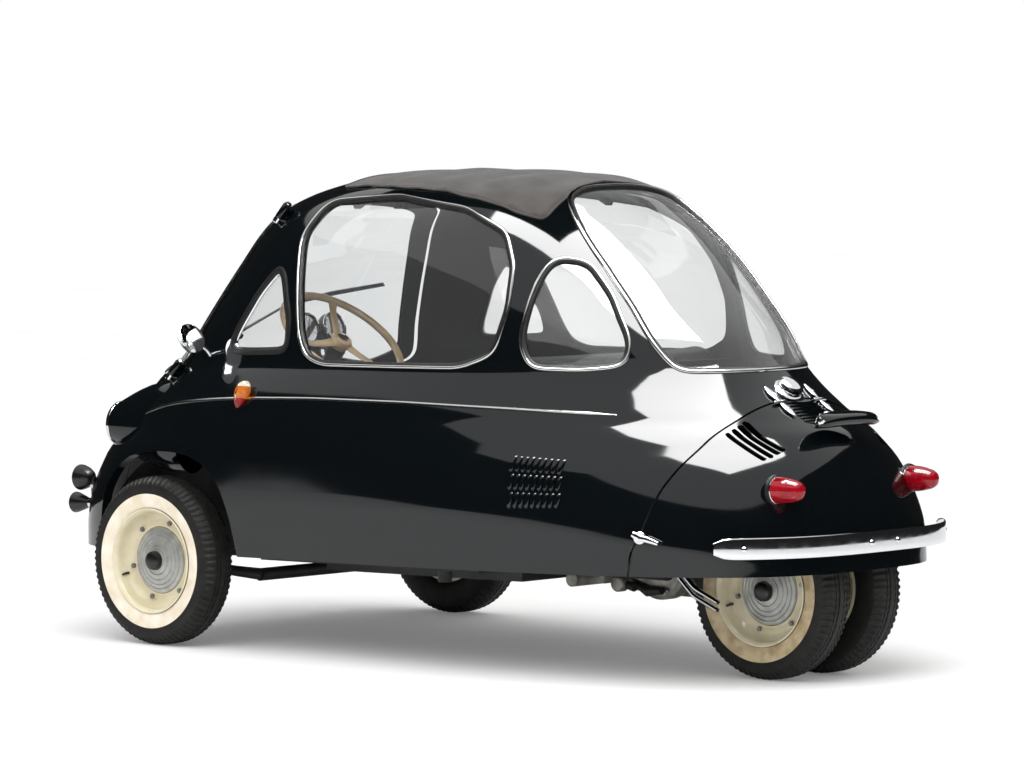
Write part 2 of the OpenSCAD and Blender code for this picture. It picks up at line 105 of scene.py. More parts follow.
def finish_named(name, colour, **values):
    """A new material with a Principled shader; values are constants on the shader's own sockets."""
    material = bpy.data.materials.new(name)
    material.use_nodes = True
    shader = material.node_tree.nodes["Principled BSDF"]
    shader.inputs["Base Color"].default_value = linear(colour)
    for key, value in values.items():
        shader.inputs[key.replace("_", " ")].default_value = value
    return material, material.node_tree, shader


print("mid grey #808080 is", round(linear("#808080")[0], 3), "in linear light")

# %% [markdown]
# No real surface is even: gloss and colour drift in soft patches. Mottle drives one socket with noise whose
# patch size is given in millimetres, and relief turns a height into a shallow bump.

# %% Patches and relief
def mottle(tree, shader, size_mm, low, high, socket="Roughness", detail=3.0):
    """Drives one shader socket between low and high with noise whose patches are size_mm across."""
    where = add_node(tree, "ShaderNodeTexCoord")
    noise = add_node(tree, "ShaderNodeTexNoise", None, Vector=where.outputs["Object"],
                     Scale=1 / (size_mm * MM),
                     Detail=detail)
    if socket == "Base Color":
        ramp = add_node(tree, "ShaderNodeValToRGB", None, Fac=noise.outputs["Fac"])
        ramp.color_ramp.elements[0].position, ramp.color_ramp.elements[1].position = 0.32, 0.68
        ramp.color_ramp.elements[0].color, ramp.color_ramp.elements[1].color = linear(low), linear(high)
        tree.links.new(ramp.outputs["Color"], shader.inputs[socket])
    else:
        span = add_node(tree, "ShaderNodeMapRange", None, Value=noise.outputs["Fac"], From_Min=0.3,
                        From_Max=0.7,
                        To_Min=low, To_Max=high)
        tree.links.new(span.outputs["Result"], shader.inputs[socket])
    return noise


def relief(tree, shader, height, depth_mm, strength=0.5):
    """Bump from a height socket, depth_mm deep."""
    bump = add_node(tree, "ShaderNodeBump", None, Height=height, Distance=depth_mm * MM, Strength=strength)
    tree.links.new(bump.outputs["Normal"], shader.inputs["Normal"])


# %% [markdown]
# The body's paint is black cellulose enamel, sprayed, flatted and polished. It is so dark that nearly all
# that shows is its mirror-smooth surface, so it needs a faint orange peel and a little dust in the gloss.

# %% Black enamel
enamel, tree, shader = finish_named("black_enamel", "#070b0d", Roughness=0.05, IOR=1.5)
mottle(tree, shader, 180, 0.045, 0.085)
peel = add_node(tree, "ShaderNodeTexNoise", None, Vector=add_node(tree,
                                                                  "ShaderNodeTexCoord").outputs["Object"],
                Scale=1 / (6 * MM), Detail=1.0)
relief(tree, shader, peel.outputs["Fac"], 0.02, 0.15)
inner_black, tree, shader = finish_named("black_cabin_paint", "#0b0b0c", Roughness=0.4, IOR=1.5)
mottle(tree, shader, 60, 0.34, 0.5)
chassis_black, tree, shader = finish_named("satin_chassis_paint", "#131314", Roughness=0.5, IOR=1.5)
grime = mottle(tree, shader, 45, "#101011", "#232120", "Base Color")
relief(tree, shader, grime.outputs["Fac"], 0.3, 0.4)
print("paints:", enamel.name, inner_black.name, chassis_black.name)

# %% [markdown]
# Bright parts come in four kinds: chromium plate on steel, drawn stainless strip, turned or cast alloy and
# bare machined steel. A metal keeps the default IOR; its colour and roughness tell them apart.

# %% Metals
chrome, tree, shader = finish_named("chromium_plate", "#dfe1e3", Metallic=1.0, Roughness=0.06)
mottle(tree, shader, 35, 0.04, 0.1)
bright_strip, tree, shader = finish_named("drawn_stainless_strip", "#cfd0ce", Metallic=1.0, Roughness=0.16)
mottle(tree, shader, 12, 0.12, 0.22)
drum_alloy, tree, shader = finish_named("turned_drum_alloy", "#b4b5b2", Metallic=0.7, Roughness=0.48)
grain = mottle(tree, shader, 30, "#a6a7a4", "#c2c3c0", "Base Color", 4.0)
relief(tree, shader, grain.outputs["Fac"], 0.1, 0.2)
engine_alloy, tree, shader = finish_named("oily_crankcase_alloy", "#9b9992", Metallic=0.6, Roughness=0.5)
grain = mottle(tree, shader, 38, "#68655e", "#b5b3ab", "Base Color", 6.0)
relief(tree, shader, grain.outputs["Fac"], 0.5, 0.5)
bare_steel, tree, shader = finish_named("machined_steel", "#8a8a8a", Metallic=1.0, Roughness=0.35)
mottle(tree, shader, 10, 0.28, 0.45)
print("metals ready")

# %% [markdown]
# The panes are clear acrylic sheet, 4 mm thick with a faint smoky cast. The lamp lenses are dyed acrylic.
# Both are modelled as real solids, so plain transmission gives their edges and reflections.

# %% Clear and dyed acrylic
acrylic, tree, shader = finish_named("clear_acrylic", "#fbfcfc", Roughness=0.0, IOR=1.49,
                                     Transmission_Weight=1.0)
mottle(tree, shader, 220, "#f8fafa", "#fdfdfd", "Base Color")
red_lens, tree, shader = finish_named("ruby_acrylic", "#a80d1c", Roughness=0.08, IOR=1.49,
                                      Transmission_Weight=0.35)
mottle(tree, shader, 9, "#8f0a18", "#b61022", "Base Color")
amber_lens, tree, shader = finish_named("amber_acrylic", "#e0762a", Roughness=0.1, IOR=1.49,
                                        Transmission_Weight=0.35)
mottle(tree, shader, 9, "#d0661c", "#e88838", "Base Color")
white_lens, tree, shader = finish_named("milky_acrylic", "#efe6d2", Roughness=0.1, IOR=1.49,
                                        Transmission_Weight=0.4)
mottle(tree, shader, 9, "#e6dcc4", "#f4ecdc", "Base Color")
print("lenses ready")

# %% [markdown]
# Rubber is dark and dull. The tyre is scuffed, the front wall bands are nearly white, and the rear ones have
# aged to tan, which is a change of colour in soft patches and not of gloss.

# %% Rubber
seal_rubber, tree, shader = finish_named("seal_rubber", "#121212", Roughness=0.55, IOR=1.52)
mottle(tree, shader, 15, 0.45, 0.65)
tyre_rubber, tree, shader = finish_named("tyre_rubber", "#151514", Roughness=0.6, IOR=1.52,
                                         Specular_IOR_Level=0.35)
scuff = mottle(tree, shader, 26, "#111110", "#1f1e1c", "Base Color", 5.0)
relief(tree, shader, scuff.outputs["Fac"], 0.2, 0.3)
white_wall, tree, shader = finish_named("white_wall_rubber", "#e4dac6", Roughness=0.55, IOR=1.52)
stain = mottle(tree, shader, 40, "#dacdb4", "#ece4d6", "Base Color", 5.0)
relief(tree, shader, stain.outputs["Fac"], 0.2, 0.2)
aged_wall, tree, shader = finish_named("aged_wall_rubber", "#b9a582", Roughness=0.6, IOR=1.52)
stain = mottle(tree, shader, 34, "#a08a66", "#c9b997", "Base Color", 6.0)
relief(tree, shader, stain.outputs["Fac"], 0.2, 0.25)
print("rubbers:", seal_rubber.name, tyre_rubber.name, white_wall.name, aged_wall.name)

# %% [markdown]
# The rims wear an ivory stoved enamel, glossy under a film of road dust. The steering wheel is celluloid,
# clear-skinned and creamy; the small controls are black bakelite, and the dials are enamelled tin.

# %% Enamel and mouldings
rim_enamel, tree, shader = finish_named("ivory_rim_enamel", "#d9d0b3", Roughness=0.25, IOR=1.5)
dust = mottle(tree, shader, 55, "#cfc5a4", "#ded6bd", "Base Color", 4.0)
relief(tree, shader, dust.outputs["Fac"], 0.1, 0.15)
ivory_plastic, tree, shader = finish_named("ivory_celluloid", "#dcbf94", Roughness=0.22, IOR=1.5,
                                           Coat_Weight=0.3)
mottle(tree, shader, 50, "#d6b688", "#e3c9a2", "Base Color")
black_plastic, tree, shader = finish_named("black_bakelite", "#0e0e0f", Roughness=0.3, IOR=1.55)
mottle(tree, shader, 20, 0.24, 0.4)
dial_face, tree, shader = finish_named("enamelled_dial", "#d9d6c8", Roughness=0.3, IOR=1.5)
mottle(tree, shader, 25, "#d0ccba", "#e0ddd2", "Base Color")
print("enamel and mouldings:", rim_enamel.name, ivory_plastic.name, black_plastic.name, dial_face.name)

# %% [markdown]
# Canvas is a plain weave, so its relief is two bands of threads multiplied together. Leathercloth is
# cotton coated with grained black vinyl; cracks between small cells give that grain.

# %% Canvas and leathercloth
THREAD = 3.0  # the real canvas thread is about 0.6 mm, too fine to show, so the weave is drawn at 3 mm


def woven(name, dark, light, roughness, sheen):
    """Plain weave: two bands of threads at right angles."""
    material, tree, shader = finish_named(name, light, Roughness=roughness, Sheen_Weight=sheen,
                                          Sheen_Roughness=0.5, Specular_IOR_Level=0.25)
    where = add_node(tree, "ShaderNodeTexCoord")
    mottle(tree, shader, 70, dark, light, "Base Color", 5.0)
    bands = [add_node(tree, "ShaderNodeTexWave", {"bands_direction": way}, Vector=where.outputs["Object"],
                      Scale=math.tau / (THREAD * MM) / 20, Distortion=0.6) for way in ("X", "Y")]
    cloth = add_node(tree, "ShaderNodeMath", {"operation": "MULTIPLY"}, i0=bands[0].outputs["Fac"],
                     i1=bands[1].outputs["Fac"])
    relief(tree, shader, cloth.outputs["Value"], 0.6, 0.6)
    return material


canvas = woven("proofed_canvas", "#393634", "#4a4745", 0.85, 0.2)
leathercloth, tree, shader = finish_named("black_leathercloth", "#1d1d1f", Roughness=0.5, IOR=1.5)
crackle = add_node(tree, "ShaderNodeTexVoronoi", {"feature": "DISTANCE_TO_EDGE"},
                   Vector=add_node(tree, "ShaderNodeTexCoord").outputs["Object"], Scale=1 / (4 * MM))
relief(tree, shader, crackle.outputs["Distance"], 0.5, 0.4)
mottle(tree, shader, 80, "#1a1a1c", "#26262a", "Base Color")
print("soft finishes ready")

# %% [markdown]
# Small parts are drawn as lathed profiles, tubes along a line and rounded bars. A Shape collects such
# pieces and becomes one object that replaces the construction nodes it stands for and rides on its body.

# %% Shape builder
LEAN = Matrix.Translation((MID_X, 0, 0)) @ Matrix.Rotation(math.radians(1.2), 4, "Y")
LEAN_ROTATION = np.array(LEAN.to_3x3())
LEAN_SHIFT = np.array(LEAN.translation)


def leaned(points_mm):
    """Row-frame metres of points given in the body's own millimetres."""
    return np.asarray(points_mm, float) * MM @ LEAN_ROTATION.T + LEAN_SHIFT


def frame_along(direction, hint=(0, 0, 1)):
    """Three axes, the last one along direction."""
    w = np.array(direction, float)
    w /= np.linalg.norm(w)
    up = np.array(hint, float)
    if abs(up @ w) > 0.98:
        up = np.array([1.0, 0.0, 0.0])
    u = np.cross(up, w)
    u /= np.linalg.norm(u)
    return u, np.cross(w, u), w


class Shape:
    """Vertices in millimetres, faces and a finish number for each face."""

    def __init__(self):
        self.points, self.faces, self.slots = [], [], []

    def add(self, points, faces, slot=0):
        start = len(self.points)
        self.points.extend([tuple(map(float, p)) for p in points])
        self.faces.extend([tuple(start + i for i in f) for f in faces])
        self.slots.extend([slot] * len(faces))
        return self

    def grid(self, rows, slot=0, closed=True, caps=False):
        """Faces between rows of points; closed joins each row's end to its start."""
        rows = np.asarray(rows, float)
        n, m = rows.shape[:2]
        wrap = m if closed else m - 1
        faces = [(i * m + j, i * m + (j + 1) % m, (i + 1) * m + (j + 1) % m, (i + 1) * m + j)
                 for i in range(n - 1) for j in range(wrap)]
        if caps:
            faces += [tuple(range(m - 1, -1, -1)), tuple((n - 1) * m + j for j in range(m))]
        return self.add(rows.reshape(-1, 3), faces, slot)

    def lathe(self, profile, at, along=(0, 0, 1), slot=0, segments=48):
        """Revolves (radius, height) pairs about a line; radius 0 at an end closes it."""
        u, v, w = frame_along(along)
        angles = np.linspace(0, math.tau, segments, endpoint=False)
        ring = np.cos(angles)[:, None] * u + np.sin(angles)[:, None] * v
        rows = [np.array(at, float) + max(r, 0.05) * ring + h * w for r, h in profile]
        return self.grid(rows, slot, caps=True)

    def tube(self, line, radius, slot=0, segments=12, flat=1.0, hint=(0, 0, 1)):
        """Round or flattened rod along a line; radius may be a list, one for each point."""
        line = np.asarray(line, float)
        radii = np.broadcast_to(radius, len(line))
        angles = np.linspace(0, math.tau, segments, endpoint=False)
        rows = []
        for i, p in enumerate(line):
            ahead = line[min(i + 1, len(line) - 1)] - line[max(i - 1, 0)]
            u, v, _ = frame_along(ahead, hint)
            rows.append(p + radii[i] * (np.cos(angles)[:, None] * u + flat * np.sin(angles)[:, None] * v))
        return self.grid(rows, slot, caps=True)

    def bar(self, low, high, slot=0, turn=None, about=None):
        """Box between two corners, turned by a matrix about a point."""
        corners = np.array([[x, y, z] for x in (low[0], high[0]) for y in (low[1], high[1])
                            for z in (low[2], high[2])], float)
        if turn is not None:
            centre = np.array(about, float)
            corners = (corners - centre) @ np.array(turn).T + centre
        faces = [(0, 1, 3, 2), (4, 6, 7, 5), (0, 4, 5, 1), (2, 3, 7, 6), (0, 2, 6, 4), (1, 5, 7, 3)]
        return self.add(corners, faces, slot)

    def mirrored(self):
        """Adds the same again on the car's other side."""
        points = [(x, -y, z) for x, y, z in self.points]
        faces, slots = [f[::-1] for f in self.faces], list(self.slots)
        start = len(self.points)
        self.points.extend(points)
        self.faces.extend([tuple(start + i for i in f) for f in faces])
        self.slots.extend(slots)
        return self


print("a closed box has", len(Shape().bar((0, 0, 0), (1, 1, 1)).faces), "faces")

# %% [markdown]
# A Shape becomes an object with its finishes. Edges sharper than a chosen angle stay crisp, the rest shade
# smooth, and a bevel can round the corners of a cast or folded part.

# %% Finished pieces
def finish_piece(obj, body, nodes):
    """Puts a finished object on its body and hides the construction nodes it stands for."""
    if nodes:
        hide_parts(*nodes)
    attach(obj, body)
    print(obj.name, "on", body, "with", len(obj.data.polygons), "faces")
    return obj


def make_piece(name, shape, finishes, body, nodes, round_mm=0.0, lean=True, sharp=38):
    """One object from a Shape, smooth but for its sharp edges, with rounded corners if asked."""
    mesh = bpy.data.meshes.new(name)
    points = leaned(shape.points) if lean else np.array(shape.points) * MM
    mesh.from_pydata(points.tolist(), [], shape.faces)
    for material in finishes:
        mesh.materials.append(material)
    mesh.polygons.foreach_set("material_index", shape.slots)
    tidy = bmesh.new()
    tidy.from_mesh(mesh)
    bmesh.ops.recalc_face_normals(tidy, faces=tidy.faces)
    tidy.to_mesh(mesh)
    tidy.free()
    mesh.shade_smooth()
    mesh.set_sharp_from_angle(angle=math.radians(sharp))
    obj = bpy.data.objects.new(name, mesh)
    bpy.context.scene.collection.objects.link(obj)
    if round_mm:
        bevel = obj.modifiers.new("rounded", "BEVEL")
        bevel.width, bevel.segments, bevel.limit_method = round_mm * MM, 2, "ANGLE"
        bevel.angle_limit, bevel.harden_normals = math.radians(sharp), True
    return finish_piece(obj, body, nodes)


print("the body leans", 1.2, "degrees nose down about x =", round(MID_X, 3))

# %% [markdown]
# The body is a blown egg: every level is a lopsided oval. The construction model gives eighteen levels;
# here a smooth curve runs through them, so that the enamel reflects without steps. A point of the skin is
# found from an angle round the level and a height.

# %% The skin
LEVELS = np.array([
    [275, 1375, -1131, 625, 400, 4.6, 3.2], [360, 1364, -1126, 645, 400, 4.4, 3.1],
    [450, 1335, -1106, 657, 400, 4.2, 2.9], [540, 1298, -1080, 657, 400, 3.8, 2.6],
    [620, 1272, -1030, 645, 380, 3.0, 2.3], [680, 1245, -945, 628, 350, 3.0, 2.2],
    [730, 1220, -875, 605, 300, 2.8, 2.2], [770, 1187, -830, 582, 260, 2.8, 2.2],
    [800, 1158, -802, 565, 220, 2.8, 2.2], [880, 1087, -742, 553, 180, 2.8, 2.25],
    [980, 1001, -649, 530, 140, 2.8, 2.3], [1080, 918, -556, 498, 120, 2.8, 2.3],
    [1160, 855, -469, 462, 120, 2.8, 2.3], [1220, 790, -393, 420, 120, 2.8, 2.3],
    [1260, 707, -335, 375, 120, 2.8, 2.3], [1290, 610, -239, 315, 120, 2.8, 2.3],
    [1310, 526, -115, 230, 140, 2.8, 2.3], [1322, 365, 70, 100, 150, 2.8, 2.3],
    [1326, 228, 202, 12, 215, 2.6, 2.3]])


def level_slopes(heights, values):
    """Slopes that keep a curve through the levels free of overshoot."""
    step = np.diff(heights)[:, None]
    rise = np.diff(values, axis=0) / step
    slopes = np.zeros_like(values)
    same = rise[:-1] * rise[1:] > 0
    before, after = np.where(same, rise[:-1], 1), np.where(same, rise[1:], 1)
    w1, w2 = 2 * step[1:] + step[:-1], step[1:] + 2 * step[:-1]
    slopes[1:-1] = np.where(same, (w1 + w2) / (w1 / before + w2 / after), 0)
    slopes[0], slopes[-1] = rise[0], rise[-1]
    return slopes


HEIGHTS, SECTIONS = LEVELS[:, 0], LEVELS[:, 1:]
SLOPES = level_slopes(HEIGHTS, SECTIONS)


def section_at(z):
    """Foremost x, rearmost x, half width, widest x and the two powers at each height."""
    z = np.clip(np.atleast_1d(np.asarray(z, float)), HEIGHTS[0], HEIGHTS[-1])
    i = np.clip(np.searchsorted(HEIGHTS, z) - 1, 0, len(HEIGHTS) - 2)
    h = HEIGHTS[i + 1] - HEIGHTS[i]
    s = ((z - HEIGHTS[i]) / h)[:, None]
    h = h[:, None]
    return ((2 * s**3 - 3 * s**2 + 1) * SECTIONS[i] + (s**3 - 2 * s**2 + s) * h * SLOPES[i]
            + (3 * s**2 - 2 * s**3) * SECTIONS[i + 1] + (s**3 - s**2) * h * SLOPES[i + 1])


print(len(HEIGHTS), "levels from", HEIGHTS[0], "to", HEIGHTS[-1], "mm")

# %% [markdown]
# A level is two half-ovals that meet at its widest point, each with its own power: 2 is an ellipse, and more
# is squarer. The outward direction is measured by stepping a little to each side.

# %% Points of the skin
def skin_point(turn, z, depth=0.0):
    """Points of the skin at an angle round the car (0 is ahead) and a height, depth inside it."""
    turn, z = np.broadcast_arrays(np.asarray(turn, float), np.asarray(z, float))
    shape = turn.shape
    turn, z = turn.ravel(), z.ravel()
    section = section_at(z)
    c, s = np.cos(turn), np.sin(turn)
    front = c >= 0
    reach = np.where(front, section[:, 0] - section[:, 3], section[:, 3] - section[:, 1]) - depth
    half = np.maximum(section[:, 2] - depth, 2)
    reach = np.maximum(reach, 2)
    power = np.where(front, section[:, 4], section[:, 5])
    r = (np.abs(c)**power + np.abs(s)**power)**(-1 / power)
    sink = depth * np.clip((z - 1150) / 172, 0, 1)
    points = np.stack([section[:, 3] + reach * c * r, half * s * r, z - sink], axis=-1)
    return points.reshape(*shape, 3)


def skin_normal(turn, z):
    """Outward direction of the skin."""
    a = skin_point(turn + 2e-3, z) - skin_point(turn - 2e-3, z)
    high, low = np.minimum(z + 1.5, HEIGHTS[-1]), np.maximum(z - 1.5, HEIGHTS[0])
    b = skin_point(turn, high) - skin_point(turn, low)
    n = np.cross(a, b)
    return n / np.maximum(np.linalg.norm(n, axis=-1, keepdims=True), 1e-9)


def outside(p, depth=0.0):
    """How far beyond the skin a point lies: 0 on it, negative inside."""
    section = section_at(p[:, 2])
    front = p[:, 0] >= section[:, 3]
    reach = np.where(front, section[:, 0] - section[:, 3], section[:, 3] - section[:, 1]) - depth
    power = np.where(front, section[:, 4], section[:, 5])
    across = np.abs(p[:, 1]) / np.maximum(section[:, 2] - depth, 2)
    return (np.abs(p[:, 0] - section[:, 3]) / np.maximum(reach, 2))**power + across**power - 1


def turn_of(p, depth=0.0):
    """The angle of a point that lies on the skin."""
    section = section_at(p[:, 2])
    front = p[:, 0] >= section[:, 3]
    reach = np.where(front, section[:, 0] - section[:, 3], section[:, 3] - section[:, 1]) - depth
    return np.arctan2(p[:, 1] / np.maximum(section[:, 2] - depth, 2), (p[:, 0] - section[:, 3]) / reach)


print("widest", round(float(section_at(450)[0, 2]) * 2), "mm; nose and tail at sill height",
      section_at(275)[0, :2].round())

# %% [markdown]
# Windows, door and covers are cut along outlines drawn from one side, from the front or from above. Each
# outline has rounded corners, and is laid on the skin by sliding its points along the viewing direction.

# %% Outlines laid on the skin
def outline(corners, radius, spacing=9, smooth=5):
    """Closed outline at a radius outside the corners, evenly spaced and smoothed."""
    corners = np.array(corners, float)
    x, y = corners.T
    if np.sum(x * np.roll(y, -1) - np.roll(x, -1) * y) < 0:
        corners = corners[::-1]
    points = []
    for i, c in enumerate(corners):
        before, after = c - corners[i - 1], corners[(i + 1) % len(corners)] - c
        a = math.atan2(-before[0], before[1])
        b = math.atan2(-after[0], after[1])
        bend = (b - a + math.pi) % math.tau - math.pi
        for k in range(7):
            t = a + bend * k / 6
            points.append(c + radius * np.array([math.cos(t), math.sin(t)]))
    points = np.array(points + points[:1])
    run = np.concatenate([[0], np.cumsum(np.linalg.norm(np.diff(points, axis=0), axis=1))])
    count = max(12, int(run[-1] / spacing))
    at = np.linspace(0, run[-1], count, endpoint=False)
    even = np.stack([np.interp(at, run, points[:, k]) for k in (0, 1)], axis=1)
    for _ in range(smooth):
        even = (np.roll(even, 1, 0) + 2 * even + np.roll(even, -1, 0)) / 4
    return even


def inside(outline_points, p):
    """Which points of the plane lie inside a closed outline."""
    x, y = p[:, 0:1], p[:, 1:2]
    x1, y1 = outline_points.T
    x2, y2 = np.roll(x1, -1), np.roll(y1, -1)
    crosses = (y1 > y) != (y2 > y)
    at = (x2 - x1) * (y - y1) / np.where(y2 == y1, 1e-9, y2 - y1) + x1
    return (crosses & (x < at)).sum(axis=1) % 2 == 1


def from_side(points, depth=0.0):
    """(turn, z) of side-elevation points on the left of the skin, and which of them reach it."""
    x, z = points.T
    section = section_at(z)
    front = x >= section[:, 3]
    reach = np.where(front, section[:, 0] - section[:, 3], section[:, 3] - section[:, 1]) - depth
    power = np.where(front, section[:, 4], section[:, 5])
    c = (x - section[:, 3]) / reach
    reached = (np.abs(c) <= 1) & (z <= HEIGHTS[-1]) & (z >= HEIGHTS[0])
    s = np.maximum(1 - np.minimum(np.abs(c), 1)**power, 0)**(1 / power)
    return np.stack([np.arctan2(s, c), z], axis=1), reached


def slide_out(start, way, depth=0.0, reach=1300):
    """(turn, z) where lines from inside the car meet the skin."""
    near, far = np.zeros(len(start)), np.full(len(start), float(reach))
    for _ in range(40):
        middle = (near + far) / 2
        p = start + middle[:, None] * way
        out = (outside(p, depth) > 0) | (p[:, 2] > HEIGHTS[-1])
        far, near = np.where(out, middle, far), np.where(out, near, middle)
    p = start + near[:, None] * way
    return np.stack([turn_of(p, depth), p[:, 2]], axis=1)


RAKE = math.radians(35)
RAKE_OUT = np.array([math.cos(RAKE), 0, math.sin(RAKE)])
RAKE_UP = np.array([-math.sin(RAKE), 0, math.cos(RAKE)])


def from_front(points, depth=0.0):
    """(turn, z) of points drawn on the door's raked plane."""
    start = points[:, :1] * np.array([0, 1.0, 0]) + points[:, 1:] * RAKE_UP + 560 * RAKE_OUT
    return slide_out(start, RAKE_OUT, depth)


def raked_plane(p):
    """Where skin points appear on the door's raked plane."""
    return np.stack([p[:, 1], p @ RAKE_UP], axis=1)

# %% [markdown]
# These are the openings of this body, as corners in millimetres with a radius. Side windows are drawn from
# the side, the door and windscreen square to the raked front, and the roof opening from above.

# %% Openings of the body
SIDE_WINDOW = outline([[368, 900], [409, 1033], [446, 1150], [422, 1211], [188, 1226], [-62, 1193],
                       [-192, 1136], [-238, 1060], [-250, 965], [-232, 874], [-158, 847], [300, 847],
                       [345, 860]], 36)
QUARTER = outline([[-372, 1082], [-360, 1010], [-352, 880], [-376, 824], [-500, 820], [-586, 828],
                   [-580, 876], [-508, 987], [-430, 1072]], 13, 9, 8)
VENT = outline([[542, 1050], [601, 988], [661, 884], [674, 851], [600, 851], [462, 856], [470, 922],
                [520, 1020]], 22)
REAR_WINDOW = outline([[-236, 1345], [-322, 1259], [-381, 1203], [-494, 1091], [-596, 976], [-660, 893],
                       [-714, 827], [-960, 822], [-960, 1350]], 26, 9, 8)
DOOR_CORNERS = [[300, 600], [455, 95], [372, -110], [322, -300], [300, -440], [-300, -440],
                [-322, -300], [-372, -110], [-455, 95], [-300, 600]]
WINDSCREEN = outline([[265, 560], [415, 120], [395, 45], [200, 15], [-200, 15], [-395, 45],
                      [-415, 120], [-265, 560]], 30)
ROOF = outline([[440, 290], [228, 318], [-60, 350], [-205, 335], [-268, 308], [-262, 225],
                [-222, 110], [-196, 0], [-222, -110], [-262, -225], [-268, -308], [-205, -335],
                [-60, -350], [228, -318], [440, -290]], 14, 12, 2)
COVER_EDGE = np.array([[-893, 760], [-889, 711], [-882, 673], [-859, 600], [-818, 501],
                       [-790, 399], [-757, 333], [-738, 240]], float)
SEAM = 3
DOOR_GAP, DOOR_RIM = outline(DOOR_CORNERS, 26 + SEAM), outline(DOOR_CORNERS, 26 - SEAM)
ARCH_TURNS = np.linspace(0, math.tau, 120, endpoint=False)
ARCH_SWELL = (np.abs(np.cos(ARCH_TURNS))**2.7 + np.abs(np.sin(ARCH_TURNS))**2.7)**(-1 / 2.7)
ARCH_REACH = 272 * ARCH_SWELL * (1 + 0.07 * np.clip(np.cos(ARCH_TURNS), 0, 1)**3)
ARCH = np.stack([849 + ARCH_REACH * np.cos(ARCH_TURNS),
                 286 + 272 * ARCH_SWELL * np.sin(ARCH_TURNS)], axis=1)
LAMP = np.array([1166.0, 475.0, 618.0])
print("side window outline:", len(SIDE_WINDOW), "points")

# %% [markdown]
# A panel is a sheet of triangles spread over the unrolled skin, with every cut laid in as an edge, so gaps
# and openings are crisp. The sheet is given its real thickness and exact normals, then mirrored.

# %% Unrolled skin
TABLE_Z = np.linspace(HEIGHTS[0], HEIGHTS[-1], 1200)
TABLE_RUN = np.concatenate([[0], np.cumsum(np.hypot(np.diff(TABLE_Z), np.diff(section_at(TABLE_Z)[:, 2])))])
AROUND = 1000.0  # millimetres of unrolled skin for each radian


def unrolled(turn_z):
    """Flat millimetres of (turn, z)."""
    return np.stack([turn_z[:, 0] * AROUND, np.interp(turn_z[:, 1], TABLE_Z, TABLE_RUN)], axis=1)


def rolled(flat):
    """(turn, z) of flat millimetres."""
    return flat[:, 0] / AROUND, np.interp(flat[:, 1], TABLE_RUN, TABLE_Z)


def thinned(flat, gap=7.0):
    """The points of a line that are at least gap apart, ends kept."""
    kept = [flat[0]]
    for p in flat[1:-1]:
        if np.linalg.norm(p - kept[-1]) >= gap:
            kept.append(p)
    if len(flat) > 1:
        if np.linalg.norm(flat[-1] - kept[-1]) < gap / 2 and len(kept) > 1:
            kept.pop()
        kept.append(flat[-1])
    return np.array(kept)


def traced(loop, mapper):
    """Lines on the unrolled left half of the skin where a closed outline falls."""
    dense = np.concatenate([loop + (np.roll(loop, -1, 0) - loop) * k / 6 for k in range(6)], axis=1)
    dense = dense.reshape(-1, 2)
    turn_z, reached = mapper(dense)
    if reached.all():
        flat = unrolled(turn_z)
        return [np.concatenate([thinned(flat), flat[:1]])[:-1]], [True]
    start = int(np.argmax(~reached))
    turn_z, reached = np.roll(turn_z, -start, 0), np.roll(reached, -start)
    lines, closed, run = [], [], []
    for place, ok in zip(turn_z, reached):
        if ok:
            run.append(place)
        elif len(run) > 3:
            lines.append(np.array(run))
            run = []
        else:
            run = []
    if len(run) > 3:
        lines.append(np.array(run))
    out = []
    for line in lines:
        for end in (0, -1):
            if line[end, 0] > math.pi - 0.25:
                line[end, 0] = math.pi
            elif line[end, 0] < 0.1:
                line[end, 0] = 0
            if line[end, 1] < HEIGHTS[0] + 9:
                line[end, 1] = HEIGHTS[0]
        out.append(thinned(unrolled(line)))
        closed.append(False)
    return out, closed


def seen_from_front(points):
    return from_front(points), points[:, 0] >= 0


def seen_from_above(points):
    start = np.stack([points[:, 0], points[:, 1], np.full(len(points), 700.0)], axis=1)
    return slide_out(start, np.array([0, 0, 1.0])), points[:, 1] >= 0


def seen_from_nose(points):
    start = np.stack([np.full(len(points), 600.0), points[:, 0], points[:, 1]], axis=1)
    return slide_out(start, np.array([1.0, 0, 0])), points[:, 0] >= 0


print("the flank unrolls to", round(float(TABLE_RUN[-1])), "mm from sill to crown")

# %% [markdown]
# A grid of points fills the sheet and a constrained triangulation joins it to the cuts. Grid points too near
# to a cut are dropped, so that no sliver triangles spoil the gloss.

